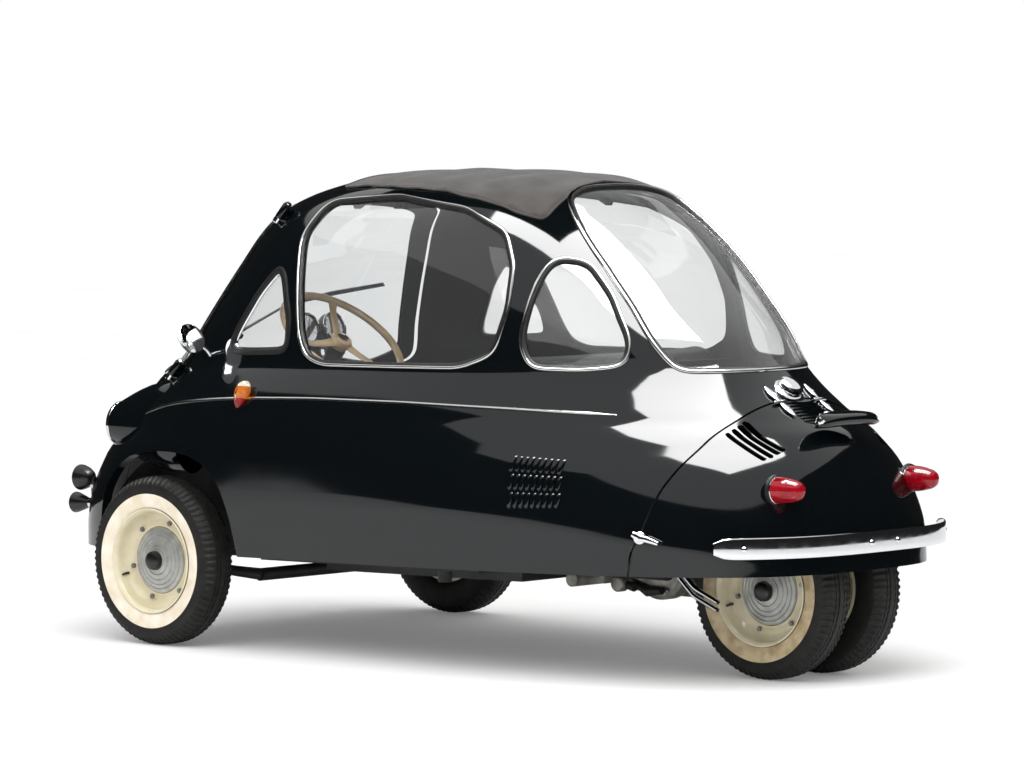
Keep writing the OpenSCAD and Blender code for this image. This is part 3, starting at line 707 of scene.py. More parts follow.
# %% Cutting a sheet
def skin_sheet(keep, cuts, step, turns=(0.0, math.pi), heights=(275.0, 1326.0)):
    """Flat points and triangles of the part of the left half-skin that keep accepts."""
    low, high = unrolled(np.array([[turns[0], heights[0]], [turns[1], heights[1]]]))
    columns = np.linspace(low[0], high[0], max(4, int((high[0] - low[0]) / step)) + 1)
    rows = np.linspace(low[1], high[1], max(4, int((high[1] - low[1]) / step)) + 1)
    points = np.stack(np.meshgrid(columns, rows), axis=-1).reshape(-1, 2)
    edge_points, edges, count = [], [], 0
    for loop, mapper in cuts:
        lines, closed = traced(loop, mapper)
        for line, is_closed in zip(lines, closed):
            n = len(line)
            edges += [(count + i, count + (i + 1) % n) for i in range(n if is_closed else n - 1)]
            edge_points.append(line)
            count += n
    if edge_points:
        fixed = np.concatenate(edge_points)
        near = np.full(len(points), np.inf)
        for start in range(0, len(points), 2000):
            part = points[start:start + 2000]
            near[start:start + 2000] = np.sqrt(((part[:, None] - fixed[None])**2).sum(-1)).min(1)
        border = (points[:, 0] <= low[0] + 1e-6) | (points[:, 0] >= high[0] - 1e-6)
        border |= (points[:, 1] <= low[1] + 1e-6)
        points = points[(near > step * 0.35) | (border & (near > 1.5))]
        points = np.concatenate([fixed, points])
    flat, _, triangles, _, _, _ = delaunay_2d_cdt([Vector(p) for p in points.tolist()], edges, [], 0, 1e-4)
    flat = np.array([tuple(p) for p in flat])
    triangles = np.array([tuple(t) for t in triangles])
    centre = flat[triangles].mean(1)
    kept = triangles[keep(skin_point(*rolled(centre)))]
    used, renumbered = np.unique(kept, return_inverse=True)
    return flat[used], renumbered.reshape(-1, 3)

# %% [markdown]
# The sheet gets an outer face, an inner face and a rim of its own. Normals come from the skin itself and not
# from the triangles, which is what keeps reflections smooth across large ones.

# %% Thickness and normals
def thick_sheet(sheet, near, far):
    """Vertices, faces and normals of a sheet between two depths, on the left half."""
    flat, triangles = sheet
    turn, z = rolled(flat)
    out, ins, normal = skin_point(turn, z, near), skin_point(turn, z, far), skin_normal(turn, z)
    a, b, c = out[triangles[:, 0]], out[triangles[:, 1]], out[triangles[:, 2]]
    flip = np.einsum("ij,ij->i", np.cross(b - a, c - a), normal[triangles[:, 0]]) < 0
    triangles = np.where(flip[:, None], triangles[:, ::-1], triangles)
    n = len(flat)
    directed = np.concatenate([triangles[:, [0, 1]], triangles[:, [1, 2]], triangles[:, [2, 0]]])
    keys = directed.min(1) * n + directed.max(1)
    _, first, counts = np.unique(keys, return_index=True, return_counts=True)
    rim = directed[first[counts == 1]]
    on_middle = (np.abs(out[:, 1]) < 0.02)
    rim = rim[~(on_middle[rim[:, 0]] & on_middle[rim[:, 1]])]
    rim_out = out[rim]
    side = np.cross(rim_out[:, 1] - rim_out[:, 0], normal[rim[:, 0]])
    side /= np.maximum(np.linalg.norm(side, axis=1, keepdims=True), 1e-9)
    m = len(rim)
    points = np.concatenate([out, ins, out[rim[:, 0]], out[rim[:, 1]], ins[rim[:, 0]], ins[rim[:, 1]]])
    normals = np.concatenate([normal, -normal, side, side, side, side])
    k = 2 * n + np.arange(m)
    faces = [triangles, triangles[:, ::-1] + n, np.stack([k + m, k, k + 2 * m], 1),
             np.stack([k + m, k + 2 * m, k + 3 * m], 1)]
    inner = np.concatenate([np.zeros(len(triangles), int), np.ones(len(triangles), int),
                            np.zeros(2 * m, int)])
    return points, np.concatenate(faces), normals, inner


def make_panel(name, sheet, near, far, finishes, body, nodes):
    """One object: a sheet given thickness and mirrored, with exact normals."""
    points, faces, normals, inner = thick_sheet(sheet, near, far)
    n = len(points)
    middle = np.abs(points[:, 1]) < 0.02
    points[middle, 1] = 0
    order = np.where(middle, np.arange(n), n + np.arange(n))
    all_points = np.concatenate([points, points * [1, -1, 1]])
    all_normals = np.concatenate([normals, normals * [1, -1, 1]])
    all_faces = np.concatenate([faces, order[faces][:, ::-1]])
    used, renumbered = np.unique(all_faces, return_inverse=True)
    mesh = bpy.data.meshes.new(name)
    mesh.from_pydata(leaned(all_points[used]).tolist(), [], renumbered.reshape(-1, 3).tolist())
    for material in finishes:
        mesh.materials.append(material)
    if len(finishes) > 1:
        mesh.polygons.foreach_set("material_index", np.concatenate([inner, inner]))
    mesh.shade_smooth()
    turned = all_normals[used] @ LEAN_ROTATION.T
    mesh.normals_split_custom_set_from_vertices(turned.tolist())
    obj = bpy.data.objects.new(name, mesh)
    bpy.context.scene.collection.objects.link(obj)
    return finish_piece(obj, body, nodes)

# %% [markdown]
# The body is all of the skin but its openings. The door is the front part inside its own outline, less the
# windscreen. A shut line is left between the two, because both outlines stand off the same line.

# %% Body and door panels
def within(points_outline, axes):
    """A test of skin points against an outline drawn in two of the three axes."""
    return lambda p: inside(points_outline, p[:, axes])


COVER_LOOP = np.concatenate([COVER_EDGE, [[-1400, 240], [-1400, 760]]])
COVER_GAP = outline(COVER_LOOP + [SEAM, 0], 0.1, 9, 1)
COVER_GAP[:, 1] += np.where(COVER_GAP[:, 1] > 755, SEAM, 0)
COVER_RIM = outline(COVER_LOOP - [SEAM, 0], 0.1, 9, 1)
COVER_RIM[:, 1] -= np.where(COVER_RIM[:, 1] > 755, SEAM, 0)
LAMP_HOLE = np.stack([LAMP[1] + 65 * np.cos(ARCH_TURNS), LAMP[2] + 65 * np.sin(ARCH_TURNS)], axis=1)
GLAZED = [SIDE_WINDOW, QUARTER, VENT, REAR_WINDOW]
XZ, XY, YZ = [0, 2], [0, 1], [1, 2]


def in_door(p, edge):
    return inside(edge, raked_plane(p)) & (p @ RAKE_OUT > 560)


def is_body(p):
    gone = in_door(p, DOOR_GAP) | inside(COVER_GAP, p[:, XZ])
    for window in GLAZED:
        gone |= inside(window, p[:, XZ])
    gone |= inside(ROOF, p[:, XY]) & (p[:, 2] > 1150)
    gone |= inside(ARCH, p[:, XZ]) & (p[:, 1] > 400)
    gone |= inside(LAMP_HOLE, p[:, YZ]) & (p[:, 0] > 990)
    return ~gone


body_cuts = [(window, from_side) for window in GLAZED] + [
    (COVER_GAP, from_side), (ARCH, from_side), (DOOR_GAP, seen_from_front), (ROOF, seen_from_above),
    (LAMP_HOLE, seen_from_nose)]
body_sheet = skin_sheet(is_body, body_cuts, 24)
make_panel("body_panels", body_sheet, 0, 20, [enamel, inner_black], "chassis", ["body_shell"])
door_sheet = skin_sheet(lambda p: in_door(p, DOOR_RIM) & ~inside(WINDSCREEN, raked_plane(p)),
                        [(DOOR_RIM, seen_from_front), (WINDSCREEN, seen_from_front)], 24, (0, 1.5))
make_panel("front_door_panel", door_sheet, 0, 18, [enamel, inner_black], "front_door", ["door"])

# %% [markdown]
# Each front wing has a crown that runs from the headlamp back under the door's lower hinge. It is lofted
# through ovals and stands clear of the door's edge.

# %% Wing crowns
CROWN = [(1156, 66, 66), (1130, 68, 78), (1100, 70, 92), (1070, 72, 104), (1040, 74, 114), (1010, 76, 121),
         (980, 78, 127), (940, 80, 132), (890, 80, 132)]
crown_rows = []
for x, half_width, half_height in CROWN:
    a = np.linspace(0, math.tau, 60, endpoint=False)
    ring = np.stack([np.full(60, float(x)), LAMP[1] + half_width * np.sin(a),
                     LAMP[2] + half_height * np.cos(a)],
                    axis=1)
    for _ in range(60):
        held = in_door(ring, DOOR_GAP)
        ring[held, 1] += 2
    crown_rows.append(ring)
crowns = Shape()
crowns.grid(crown_rows)
crowns.mirrored()
make_piece("wing_crowns", crowns, [enamel], "chassis", [], sharp=70)

# %% [markdown]
# The tail cover has four slanted air slots on each side. They are cut as real openings in its skin.

# %% Tail cover
SLOTS = []
for upper, lower in (((-890, 640), (-997, 571)), ((-894, 649), (-1005, 577)), ((-896, 658), (-1009, 585)),
                     ((-896, 667), (-1012, 592))):
    upper, lower = np.array(upper, float), np.array(lower, float)
    along = (lower - upper) / np.linalg.norm(lower - upper)
    SLOTS.append(outline([upper, lower, lower + along * 0.1 + 0.1, upper + [0.1, -0.1]], 3.4, 3, 1))


def is_cover(p):
    kept = inside(COVER_RIM, p[:, XZ])
    for slot_outline in SLOTS:
        kept &= ~(inside(slot_outline, p[:, XZ]) & (p[:, 1] > 100))
    return kept


cover_cuts = [(COVER_RIM, from_side)] + [(slot_outline, from_side) for slot_outline in SLOTS]
cover_sheet = skin_sheet(is_cover, cover_cuts, 18, (1.9, math.pi), (275, 775))
make_panel("tail_cover_panel", cover_sheet, 0, 12, [enamel, inner_black], "tail_lid", ["tail_cover"])

# %% [markdown]
# Each pane is a sheet 4 mm thick, set 6 mm behind the paint, cut from the same skin.

# %% Panes
for name, window, turns, node in (
        ("side_pane", SIDE_WINDOW, (0.6, 2.6), "side_windows"),
        ("quarter_pane", QUARTER, (1.7, 2.9), "quarter_windows"),
        ("vent_pane", VENT, (0.3, 1.5), "vent_windows"),
        ("rear_bubble", REAR_WINDOW, (1.6, math.pi), "rear_window")):
    sheet = skin_sheet(within(window, XZ), [(window, from_side)], 22, turns, (780, 1326))
    make_panel(name, sheet, 6, 10, [acrylic], "chassis", [node])
sheet = skin_sheet(lambda p: inside(WINDSCREEN, raked_plane(p)) & (p @ RAKE_OUT > 500),
                   [(WINDSCREEN, seen_from_front)], 22, (0, 1.5), (700, 1326))
make_panel("windscreen_pane", sheet, 6, 10, [acrylic], "front_door", ["windscreen"])

# %% [markdown]
# Every opening is edged with a rubber seal and a bright bead pressed over it. Both are one section drawn
# along the opening's edge, standing on the skin.

# %% Window beads and seals
def ring_on_skin(loop, mapper, spacing=9):
    """Closed line of (turn, z) round an opening; one that crosses the middle is completed on the right."""
    lines, closed = traced(loop, mapper)
    longest = int(np.argmax([len(one) for one in lines]))
    turn, z = rolled(lines[longest])
    points, normals = skin_point(turn, z), skin_normal(turn, z)
    if not closed[longest]:
        points = np.concatenate([points, points[-2:0:-1] * [1, -1, 1]])
        normals = np.concatenate([normals, normals[-2:0:-1] * [1, -1, 1]])
    run = np.concatenate([[0], np.cumsum(np.linalg.norm(np.diff(
        np.concatenate([points, points[:1]]), axis=0), axis=1))])
    at = np.linspace(0, run[-1], int(run[-1] / spacing), endpoint=False)
    even = [np.interp(at, run, np.append(values[:, k], values[0, k]))
            for values in (points, normals) for k in range(3)]
    points, normals = np.stack(even[:3], axis=1), np.stack(even[3:], axis=1)
    for _ in range(3):
        points = (np.roll(points, 1, 0) + 2 * points + np.roll(points, -1, 0)) / 4
        normals = (np.roll(normals, 1, 0) + 2 * normals + np.roll(normals, -1, 0)) / 4
    return points, normals / np.linalg.norm(normals, axis=1, keepdims=True)


def run_section(shape, points, normals, section, slot=0, closed=True):
    """Draws a section (out from the opening, up from the skin) along a line on the skin."""
    if closed:
        ahead = np.roll(points, -1, 0) - np.roll(points, 1, 0)
    else:
        ahead = np.gradient(points, axis=0)
    out = np.cross(ahead, normals)
    out /= np.linalg.norm(out, axis=1, keepdims=True)
    if closed and np.sum((points - points.mean(0)) * out) < 0:
        out = -out
    rows = np.stack([points + a * out + b * normals for a, b in section], axis=1)
    if closed:
        rows = np.concatenate([rows, rows[:1]])
    return shape.grid(rows, slot, caps=not closed)

# %% [markdown]
# The bead is a half-round bright strip and the seal is a rubber lip behind it. The vent and the windscreen
# have deeper rubbers, with their own bright inserts.

# %% Beads and seals
BEAD = [(0.5, -3), (0.5, 2.5), (2.5, 4.6), (5.5, 5.2), (8.5, 4.2), (10, 1.5), (10, -2)]
SEAL = [(-7, -12), (-7, -1), (-5, 1.5), (0, 3.2), (1, 2), (1, -12)]
bead, seal = Shape(), Shape()
for window in (SIDE_WINDOW, QUARTER):
    points, normals = ring_on_skin(window, from_side)
    run_section(bead, points, normals, BEAD)
    run_section(seal, points, normals, SEAL)
bead.mirrored()
seal.mirrored()
points, normals = ring_on_skin(REAR_WINDOW, from_side)
run_section(bead, points, normals, [(a * 1.25, b * 1.2) for a, b in BEAD])
run_section(seal, points, normals, SEAL)
make_piece("window_beads", bead, [bright_strip], "chassis", [], sharp=60)
make_piece("window_seals", seal, [seal_rubber], "chassis", [], sharp=60)
vent_seal = Shape()
points, normals = ring_on_skin(VENT, from_side)
run_section(vent_seal, points, normals, [(-15, -11), (-15, 0), (-12, 3.5), (-2, 5.5), (3, 4), (4, -2),
                                         (0, -11)])
run_section(vent_seal, points, normals, [(-20, -10), (-20, -2), (-18, 0), (-15, 0), (-15, -10)], 1)
vent_seal.mirrored()
make_piece("vent_window_seals", vent_seal, [seal_rubber, chrome], "chassis", [], sharp=60)
screen_seal = Shape()
points, normals = ring_on_skin(WINDSCREEN, seen_from_front)
run_section(screen_seal, points, normals, SEAL)
run_section(screen_seal, points, normals, [(0, -2), (0, 3), (3, 4.5), (6, 3.5), (7, 0), (7, -2)], 1)
make_piece("windscreen_seal", screen_seal, [seal_rubber, bright_strip], "front_door", [],
           sharp=60)

# %% [markdown]
# The roof panel is proofed canvas stretched over four hoops. It is one sheet that follows the roof, sags a
# little between the hoops and is bound along its edge.

# %% Canvas roof
def roof_height(x, y):
    """Height of the skin above plan points."""
    start = np.stack([x, np.abs(y), np.full(len(x), 900.0)], axis=1)
    return slide_out(start, np.array([0, 0, 1.0]), 0.0, 500)[:, 1]


ROOF_CLOTH = outline([[452, 284], [228, 318], [-60, 350], [-205, 338], [-276, 316], [-272, 236],
                      [-236, 110], [-206, 0], [-236, -110], [-272, -236], [-276, -316],
                      [-205, -338], [-60, -350], [228, -318], [452, -284]], 14, 12, 1)
HOOPS = np.array([-118, 42, 222, 382])


def cloth_lift(x, y):
    """The cloth stands 4 mm proud, rises over each hoop and sags between them."""
    nearest = np.min(np.abs(x[:, None] - HOOPS), axis=1)
    sag = 7.0 * np.clip(nearest / 85, 0, 1)**1.5
    edge = np.clip((330 - np.abs(y)) / 110, 0, 1) * np.clip((465 - x) / 80, 0, 1)
    edge *= np.clip((x + 262) / 90, 0, 1)
    pull = 1.1 * np.sin(x / 17 + 0.8 * np.sin(y / 60)) * np.clip((np.abs(y) - 230) / 60, 0, 1)
    return 4.0 + edge * (4.5 - sag) + pull


print("hoops at", HOOPS.tolist(), "mm")

# %% [markdown]
# The cloth is triangulated in plan, lifted to the roof and given its thickness.

# %% Cloth
step = 14
plan = np.stack(np.meshgrid(np.arange(-300, 480, step), np.arange(-380, 381, step)), axis=-1).reshape(-1, 2)
plan = plan[inside(ROOF_CLOTH * 0.985, plan)]
count = len(ROOF_CLOTH)
loop_edges = [(i, (i + 1) % count) for i in range(count)]
everything = np.concatenate([ROOF_CLOTH, plan])
flat, _, triangles, _, _, _ = delaunay_2d_cdt([Vector(p) for p in everything.tolist()], loop_edges, [], 0,
                                              1e-4)
flat = np.array([tuple(p) for p in flat])
triangles = np.array([tuple(t) for t in triangles])
triangles = triangles[inside(ROOF_CLOTH, flat[triangles].mean(1))]
height = roof_height(flat[:, 0], flat[:, 1]) + cloth_lift(flat[:, 0], flat[:, 1])
cloth_points = leaned(np.column_stack([flat, height]))
roof_mesh = bpy.data.meshes.new("canvas_roof")
roof_mesh.from_pydata(cloth_points.tolist(), [], triangles.tolist())
roof_mesh.materials.append(canvas)
roof_mesh.shade_smooth()
canvas_roof = bpy.data.objects.new("canvas_roof", roof_mesh)
scene_collection = bpy.context.scene.collection
scene_collection.objects.link(canvas_roof)
thickness = canvas_roof.modifiers.new("thickness", "SOLIDIFY")
thickness.thickness, thickness.offset = 1.6 * MM, -1
finish_piece(canvas_roof, "chassis", ["fabric_roof"])

# %% [markdown]
# A rolled edge of the same cloth binds the roof panel all round.

# %% Binding
binding = Shape()
edge_height = roof_height(*ROOF_CLOTH.T) + cloth_lift(*ROOF_CLOTH.T)
edge_line = np.column_stack([ROOF_CLOTH, edge_height - 0.5])
angles = np.linspace(0, math.tau, 8, endpoint=False)
ahead = np.roll(edge_line, -1, 0) - np.roll(edge_line, 1, 0)
across_edge = np.cross(ahead, [0, 0, 1.0])
across_edge /= np.linalg.norm(across_edge, axis=1, keepdims=True)
rows = np.stack([edge_line + 3.2 * math.cos(a) * across_edge + 3.2 * math.sin(a) * np.array([0, 0, 1.0])
                 for a in angles], axis=1)
binding.grid(np.concatenate([rows, rows[:1]]))
roof_binding = make_piece("roof_binding", binding, [canvas], "chassis", [], sharp=80)

# %% [markdown]
# The bench cushion and its backrest are sprung and padded, covered in black leathercloth. Each is blown up
# from a slightly smaller slab by Blender's cloth, with its travel capped.

# %% Bench
def padded_piece(name, size, centre, tilt, node, cap_mm, gather):
    """A cushion of size millimetres, swollen by cloth pressure."""
    slab = bmesh.new()
    bmesh.ops.create_cube(slab, size=1)
    bmesh.ops.scale(slab, vec=Vector(size) * MM, verts=slab.verts)
    bmesh.ops.bevel(slab, geom=slab.edges[:], offset=26 * MM, segments=3, affect="EDGES", profile=0.6)
    mesh = bpy.data.meshes.new(name)
    slab.to_mesh(mesh)
    slab.free()
    obj = bpy.data.objects.new(name, mesh)
    scene_collection.objects.link(obj)
    bpy.context.view_layer.objects.active = obj
    remesh = obj.modifiers.new("even", "REMESH")
    remesh.mode, remesh.voxel_size = "VOXEL", 11 * MM
    bpy.ops.object.modifier_apply(modifier="even")
    rest = np.array([v.co for v in mesh.vertices])
    half = np.array(size) * MM / 2
    panels = np.cos(rest[:, 1] / half[1] * math.pi * gather)**2
    channel = 0.006 * np.clip(1 - panels * 9, 0, 1) * np.sign(rest[:, 2] if size[2] < size[0] else rest[:, 0])
    thin_axis = 2 if size[2] < size[0] else 0
    on_face = np.abs(rest[:, thin_axis]) > half[thin_axis] * 0.9
    rest[:, thin_axis] -= channel * on_face
    puff = obj.modifiers.new("puff", "CLOTH")
    puff.settings.use_pressure, puff.settings.uniform_pressure_force = True, 4
    puff.settings.quality = 4
    puff.settings.effector_weights.gravity = 0
    for number in range(1, 21):
        bpy.context.scene.frame_set(number)
    shown = obj.evaluated_get(bpy.context.evaluated_depsgraph_get())
    swollen = np.array([v.co for v in shown.data.vertices])
    obj.modifiers.remove(puff)
    bpy.context.scene.frame_set(1)
    move = swollen - np.array([v.co for v in mesh.vertices])
    far_moved = np.linalg.norm(move, axis=1, keepdims=True)
    rest += move * np.minimum(1, cap_mm * MM / np.maximum(far_moved, 1e-9))
    mesh.vertices.foreach_set("co", rest.ravel())
    mesh.materials.append(leathercloth)
    mesh.shade_smooth()
    place = LEAN @ Matrix.Translation(Vector(centre) * MM) @ Matrix.Rotation(math.radians(tilt), 4, "Y")
    mesh.transform(place)
    obj.modifiers.new("smooth", "SUBSURF").levels = 1
    obj.modifiers["smooth"].render_levels = 1
    finish_piece(obj, "chassis", [node])
    return obj


padded_piece("bench_seat_pad", (440, 920, 100), (40, 0, 460), 0, "bench_cushion", 12, 4)
padded_piece("bench_back_pad", (72, 880, 312), (-195, 0, 682), -14, "bench_backrest", 12, 4)

# %% [markdown]
# The steering wheel is cream celluloid moulded on a steel core: a thin rim, three flat spokes that sweep in
# to the hub, and a horn button. It turns with its shaft.

# %% Steering wheel
HUB, COLUMN_TILT = np.array([520.0, 250.0, 862.0]), math.radians(40)
AXLE_UP = np.array([-math.sin(COLUMN_TILT), 0, math.cos(COLUMN_TILT)])
ACROSS = np.array([math.cos(COLUMN_TILT), 0, math.sin(COLUMN_TILT)])
SIDE = np.array([0, 1.0, 0])


def on_wheel(radius, degrees, height):
    """A point of the steering wheel in body millimetres."""
    a = math.radians(degrees)
    return HUB + radius * (math.cos(a) * ACROSS + math.sin(a) * SIDE) + height * AXLE_UP


wheel = Shape()
around = np.linspace(0, math.tau, 14, endpoint=False)
rows = np.array([[on_wheel(184 + 10.5 * math.cos(b), a, 10.5 * math.sin(b)) for b in around]
                 for a in np.linspace(0, 360, 97)])
wheel.grid(rows)
for spoke in (90, 210, 330):
    line = [on_wheel(r, spoke, h) for r, h in ((18, -10), (60, -14), (110, -13), (150, -8), (180, 0))]
    wheel.tube(line, [17, 13, 11, 11, 15], 0, 12, 0.42, AXLE_UP)
wheel.lathe([(0, -28), (24, -28), (30, -14), (32, -4), (28, 3), (0, 4)], HUB, AXLE_UP)
wheel.lathe([(17, 2), (17, 7), (12, 9), (0, 10)], HUB, AXLE_UP, 1)
wheel.lathe([(0, -298), (9.5, -298), (9.5, -26), (0, -26)], HUB, AXLE_UP, 2, 20)
make_piece("cream_steering_wheel", wheel, [ivory_plastic, chrome, bare_steel], "steering_wheel",
           ["steering_wheel"], sharp=50)

# %% [markdown]
# The column is a black tube with a collar at its top and a chromed stalk for the lamps. It stands still,
# so it is a piece apart from the wheel.

# %% Column
column = Shape()
column.lathe([(11, -739), (20, -739), (20, -60), (27, -58), (27, -32), (22, -30), (11, -30)], HUB, AXLE_UP)
column.tube([on_wheel(20, 60, -46), on_wheel(70, 60, -50), on_wheel(125, 62, -40)], [4.5, 4, 4], 1)
column.lathe([(0, -8), (7, -6), (8, 0), (7, 6), (0, 8)], on_wheel(128, 62, -39), AXLE_UP, 1)
make_piece("column_tube", column, [black_plastic, chrome], "chassis", ["steering_column"])

# %% [markdown]
# Two round instruments sit in black cups on the column. The dial, its ticks and its needle are thin solids,
# because a printed face would need an image.

# %% Instruments
pod = Shape()
face_out = np.array([-math.sin(math.radians(75)), 0, math.cos(math.radians(75))])
for side in (-1, 1):
    at = np.array([640.0, 205 + side * 52, 890])
    pod.lathe([(20, -44), (34, -38), (43, -22), (44, 0), (42, 4), (38, 4), (38, -2)], at, face_out)
    pod.lathe([(44.4, -1), (44.4, 3), (41, 5.2), (38.5, 4), (38.5, -1)], at, face_out, 1)
    pod.lathe([(37.8, -4), (37.8, -2), (0, -2)], at, face_out, 2)
    u, v, w = frame_along(face_out, (0, 0, 1))
    for tick in range(0, 11):
        a = math.radians(-120 + 24 * tick + 90)
        way = math.cos(a) * u + math.sin(a) * v
        pod.tube([at - 1.2 * w + 27 * way, at - 1.2 * w + 34 * way], 1.1, 0, 6)
    a = math.radians(40 + 30 * side)
    way = math.cos(a) * u + math.sin(a) * v
    pod.tube([at - 0.6 * w - 6 * way, at - 0.6 * w + 29 * way], [1.8, 0.7], 3, 6)
    pod.lathe([(4, -1.5), (4, 1), (0, 1.6)], at, face_out, 0, 16)
pod.tube([(664, 205, 872), (640, 236, 820), (612, 250, 790)], [22, 18, 16], 0, 16)
make_piece("instrument_pod_shell", pod, [black_plastic, chrome, dial_face, red_lens], "chassis",
           ["instrument_pod"], sharp=50)

# %% [markdown]
# The gear lever stands by the left wall: a bent rod with a bakelite knob, in a small gate box.

# %% Gear lever
lever = Shape()
lever.tube([(330, 505, 420), (350, 505, 510), (368, 505, 590)], [9, 7.5, 6.5])
lever.lathe([(0, -20), (9, -17), (17, -4), (17, 6), (10, 15), (0, 18)], (368, 505, 604), (0.2, 0, 1))
lever.bar((292, 522, 422), (368, 558, 478))
make_piece("gear_lever_gate", lever, [black_plastic], "chassis", ["gear_lever"], 3)
print("controls made")

# %% [markdown]
# The headlamps are bowls let into the wings, with a chromed rim and a domed lens. Each is three lathed
# profiles about the same line, which is how such lamps are spun.

# %% Headlamps
lamps = Shape()
for_ring = [(0, -108), (38, -100), (56, -62), (62, -20)]
lamps.lathe(for_ring + [(64, -16), (64, -8)], LAMP, (1, 0, 0), 2)
lamps.lathe([(64, -9), (66, -7), (65, 2), (61, 6), (56, 4), (56, 0)], LAMP, (1, 0, 0))
lamps.lathe([(56, 0), (56, 3), (44, 10), (26, 15), (0, 17)], LAMP, (1, 0, 0), 1)
lamps.mirrored()
make_piece("headlamps_with_rims", lamps, [chrome, white_lens, enamel], "chassis", ["headlamps"],
           sharp=50)

# %% [markdown]
# Ahead of each front wheel a bracket carries a black horn trumpet and a small driving lamp. Both are lathed,
# and the bracket is three bars with two bolt heads.

# %% Horn and driving lamp
horns = Shape()
horns.lathe([(0, -89), (13, -89), (14, -50), (18, -40), (24, -22), (29, -6), (30, 0), (28, 0), (22, -12),
             (14, -28), (0, -34)], (1366, 467, 388), (1, 0, 0))
horns.lathe([(15, -70), (15, -60), (13, -60)], (1366, 467, 388), (1, 0, 0), 1)
horns.mirrored()
make_piece("horn_trumpets", horns, [black_plastic, chrome], "chassis", ["horn"], sharp=50)
fog = Shape()
fog.lathe([(0, -51), (12, -50), (22, -40), (31, -24), (36, -8), (36.8, 0), (33, 1)], (1346, 467, 460),
          (1, 0, 0))
fog.lathe([(33, -1), (33, 1), (20, 4), (0, 6)], (1346, 467, 460), (1, 0, 0), 1)
fog.bar((1287, 461, 381), (1299, 473, 462))
fog.bar((1216, 461, 381), (1296, 473, 394))
fog.bar((1287, 463, 446), (1309, 471, 461))
fog.lathe([(0, -8), (8, -8), (8, 8), (0, 8)], (1293, 467, 388), (0, 1, 0), 2, 6)
fog.lathe([(0, -9), (7, -9), (7, 9), (0, 9)], (1295, 467, 436), (0, 1, 0), 2, 6)
fog.mirrored()
make_piece("driving_lamps", fog, [black_plastic, white_lens, chrome], "chassis", ["fog_lamp"],
           1.2, sharp=50)

# %% [markdown]
# The blinker is a teardrop in red, amber and white acrylic on a chromed base. A lathe cannot make its long
# shape, so half-rings of changing width are lofted up its height.

# %% Side blinkers
blinker = Shape()
blink_at, blink_out = np.array([564.0, 602, 717]), np.array([0, math.sin(math.radians(80)), 0.174])
blink_up = np.array([-0.22, 0.0, 1.0])


def teardrop(shape, low, high, slot, base=0.0):
    """A stretched dome from low to high up the blinker's height."""
    rows = []
    for k in range(9):
        t = low + (high - low) * k / 8
        full = math.sqrt(max(0.02, 1 - ((t + 2) / 44)**2))
        wide, deep = 22 * full * (1 + 0.22 * t / 44), 34 * full
        half_ring = [blink_at + t * blink_up + wide * math.cos(a) * np.array([1.0, 0, 0])
                     + (base + deep * math.sin(a)) * blink_out for a in np.linspace(0, math.pi, 15)]
        rows.append(half_ring)
    shape.grid(rows, slot, caps=True)


teardrop(blinker, -45, -10, 0)
teardrop(blinker, -9.5, 24, 1)
teardrop(blinker, 24.5, 41, 2)
blinker.lathe([(17, -6), (22, -4), (22, 2), (18, 3)], blink_at, blink_out, 3, 32)
blinker.tube([blink_at + 31 * blink_out - 14 * blink_up, blink_at + 36 * blink_out,
              blink_at + 29 * blink_out + 18 * blink_up], 1.6, 3, 8)
blinker.mirrored()
make_piece("side_blinkers", blinker, [red_lens, amber_lens, white_lens, chrome], "chassis", ["indicators"],
           sharp=50)

# %% [markdown]
# A thin bright strip runs along each flank. It is a half-round moulding laid on the skin, tapering at its
# ends.

# %% Flank strip
STRIP = np.array([[1010, 652], [930, 676], [820, 693], [690, 704], [561, 711], [300, 716], [-10, 713],
                  [-330, 702], [-520, 693], [-629, 688]], float)
along_strip = np.concatenate([[0], np.cumsum(np.linalg.norm(np.diff(STRIP, axis=0), axis=1))])
at = np.linspace(0, along_strip[-1], 110)
fine = np.stack([np.interp(at, along_strip, STRIP[:, k]) for k in (0, 1)], axis=1)
for _ in range(12):
    fine[1:-1] = (fine[:-2] + 2 * fine[1:-1] + fine[2:]) / 4
turn_z, _ = from_side(fine)
points, normals = skin_point(turn_z[:, 0], turn_z[:, 1]), skin_normal(turn_z[:, 0], turn_z[:, 1])
strip = Shape()
width = 4.2 * np.clip(np.minimum(at, at[-1] - at) / 60, 0.25, 1)
ahead = np.gradient(points, axis=0)
up_skin = np.cross(normals, ahead)
up_skin /= np.linalg.norm(up_skin, axis=1, keepdims=True)
section = [(-1, -1.5), (-0.85, 0.8), (-0.35, 1), (0.35, 1), (0.85, 0.8), (1, -1.5)]
rows = np.stack([points + (a * width)[:, None] * up_skin + (b * 0.55 * width + 0.3)[:, None] * normals
                 for a, b in section], axis=1)
strip.grid(rows, caps=True)
strip.mirrored()
make_piece("flank_strips", strip, [bright_strip], "chassis", [], sharp=60)

# %% [markdown]
# Three rows of nine pressed louvres cool the engine. Each is a blister that swells from nothing at its ends
# and is open along one side, laid on the skin between two points.

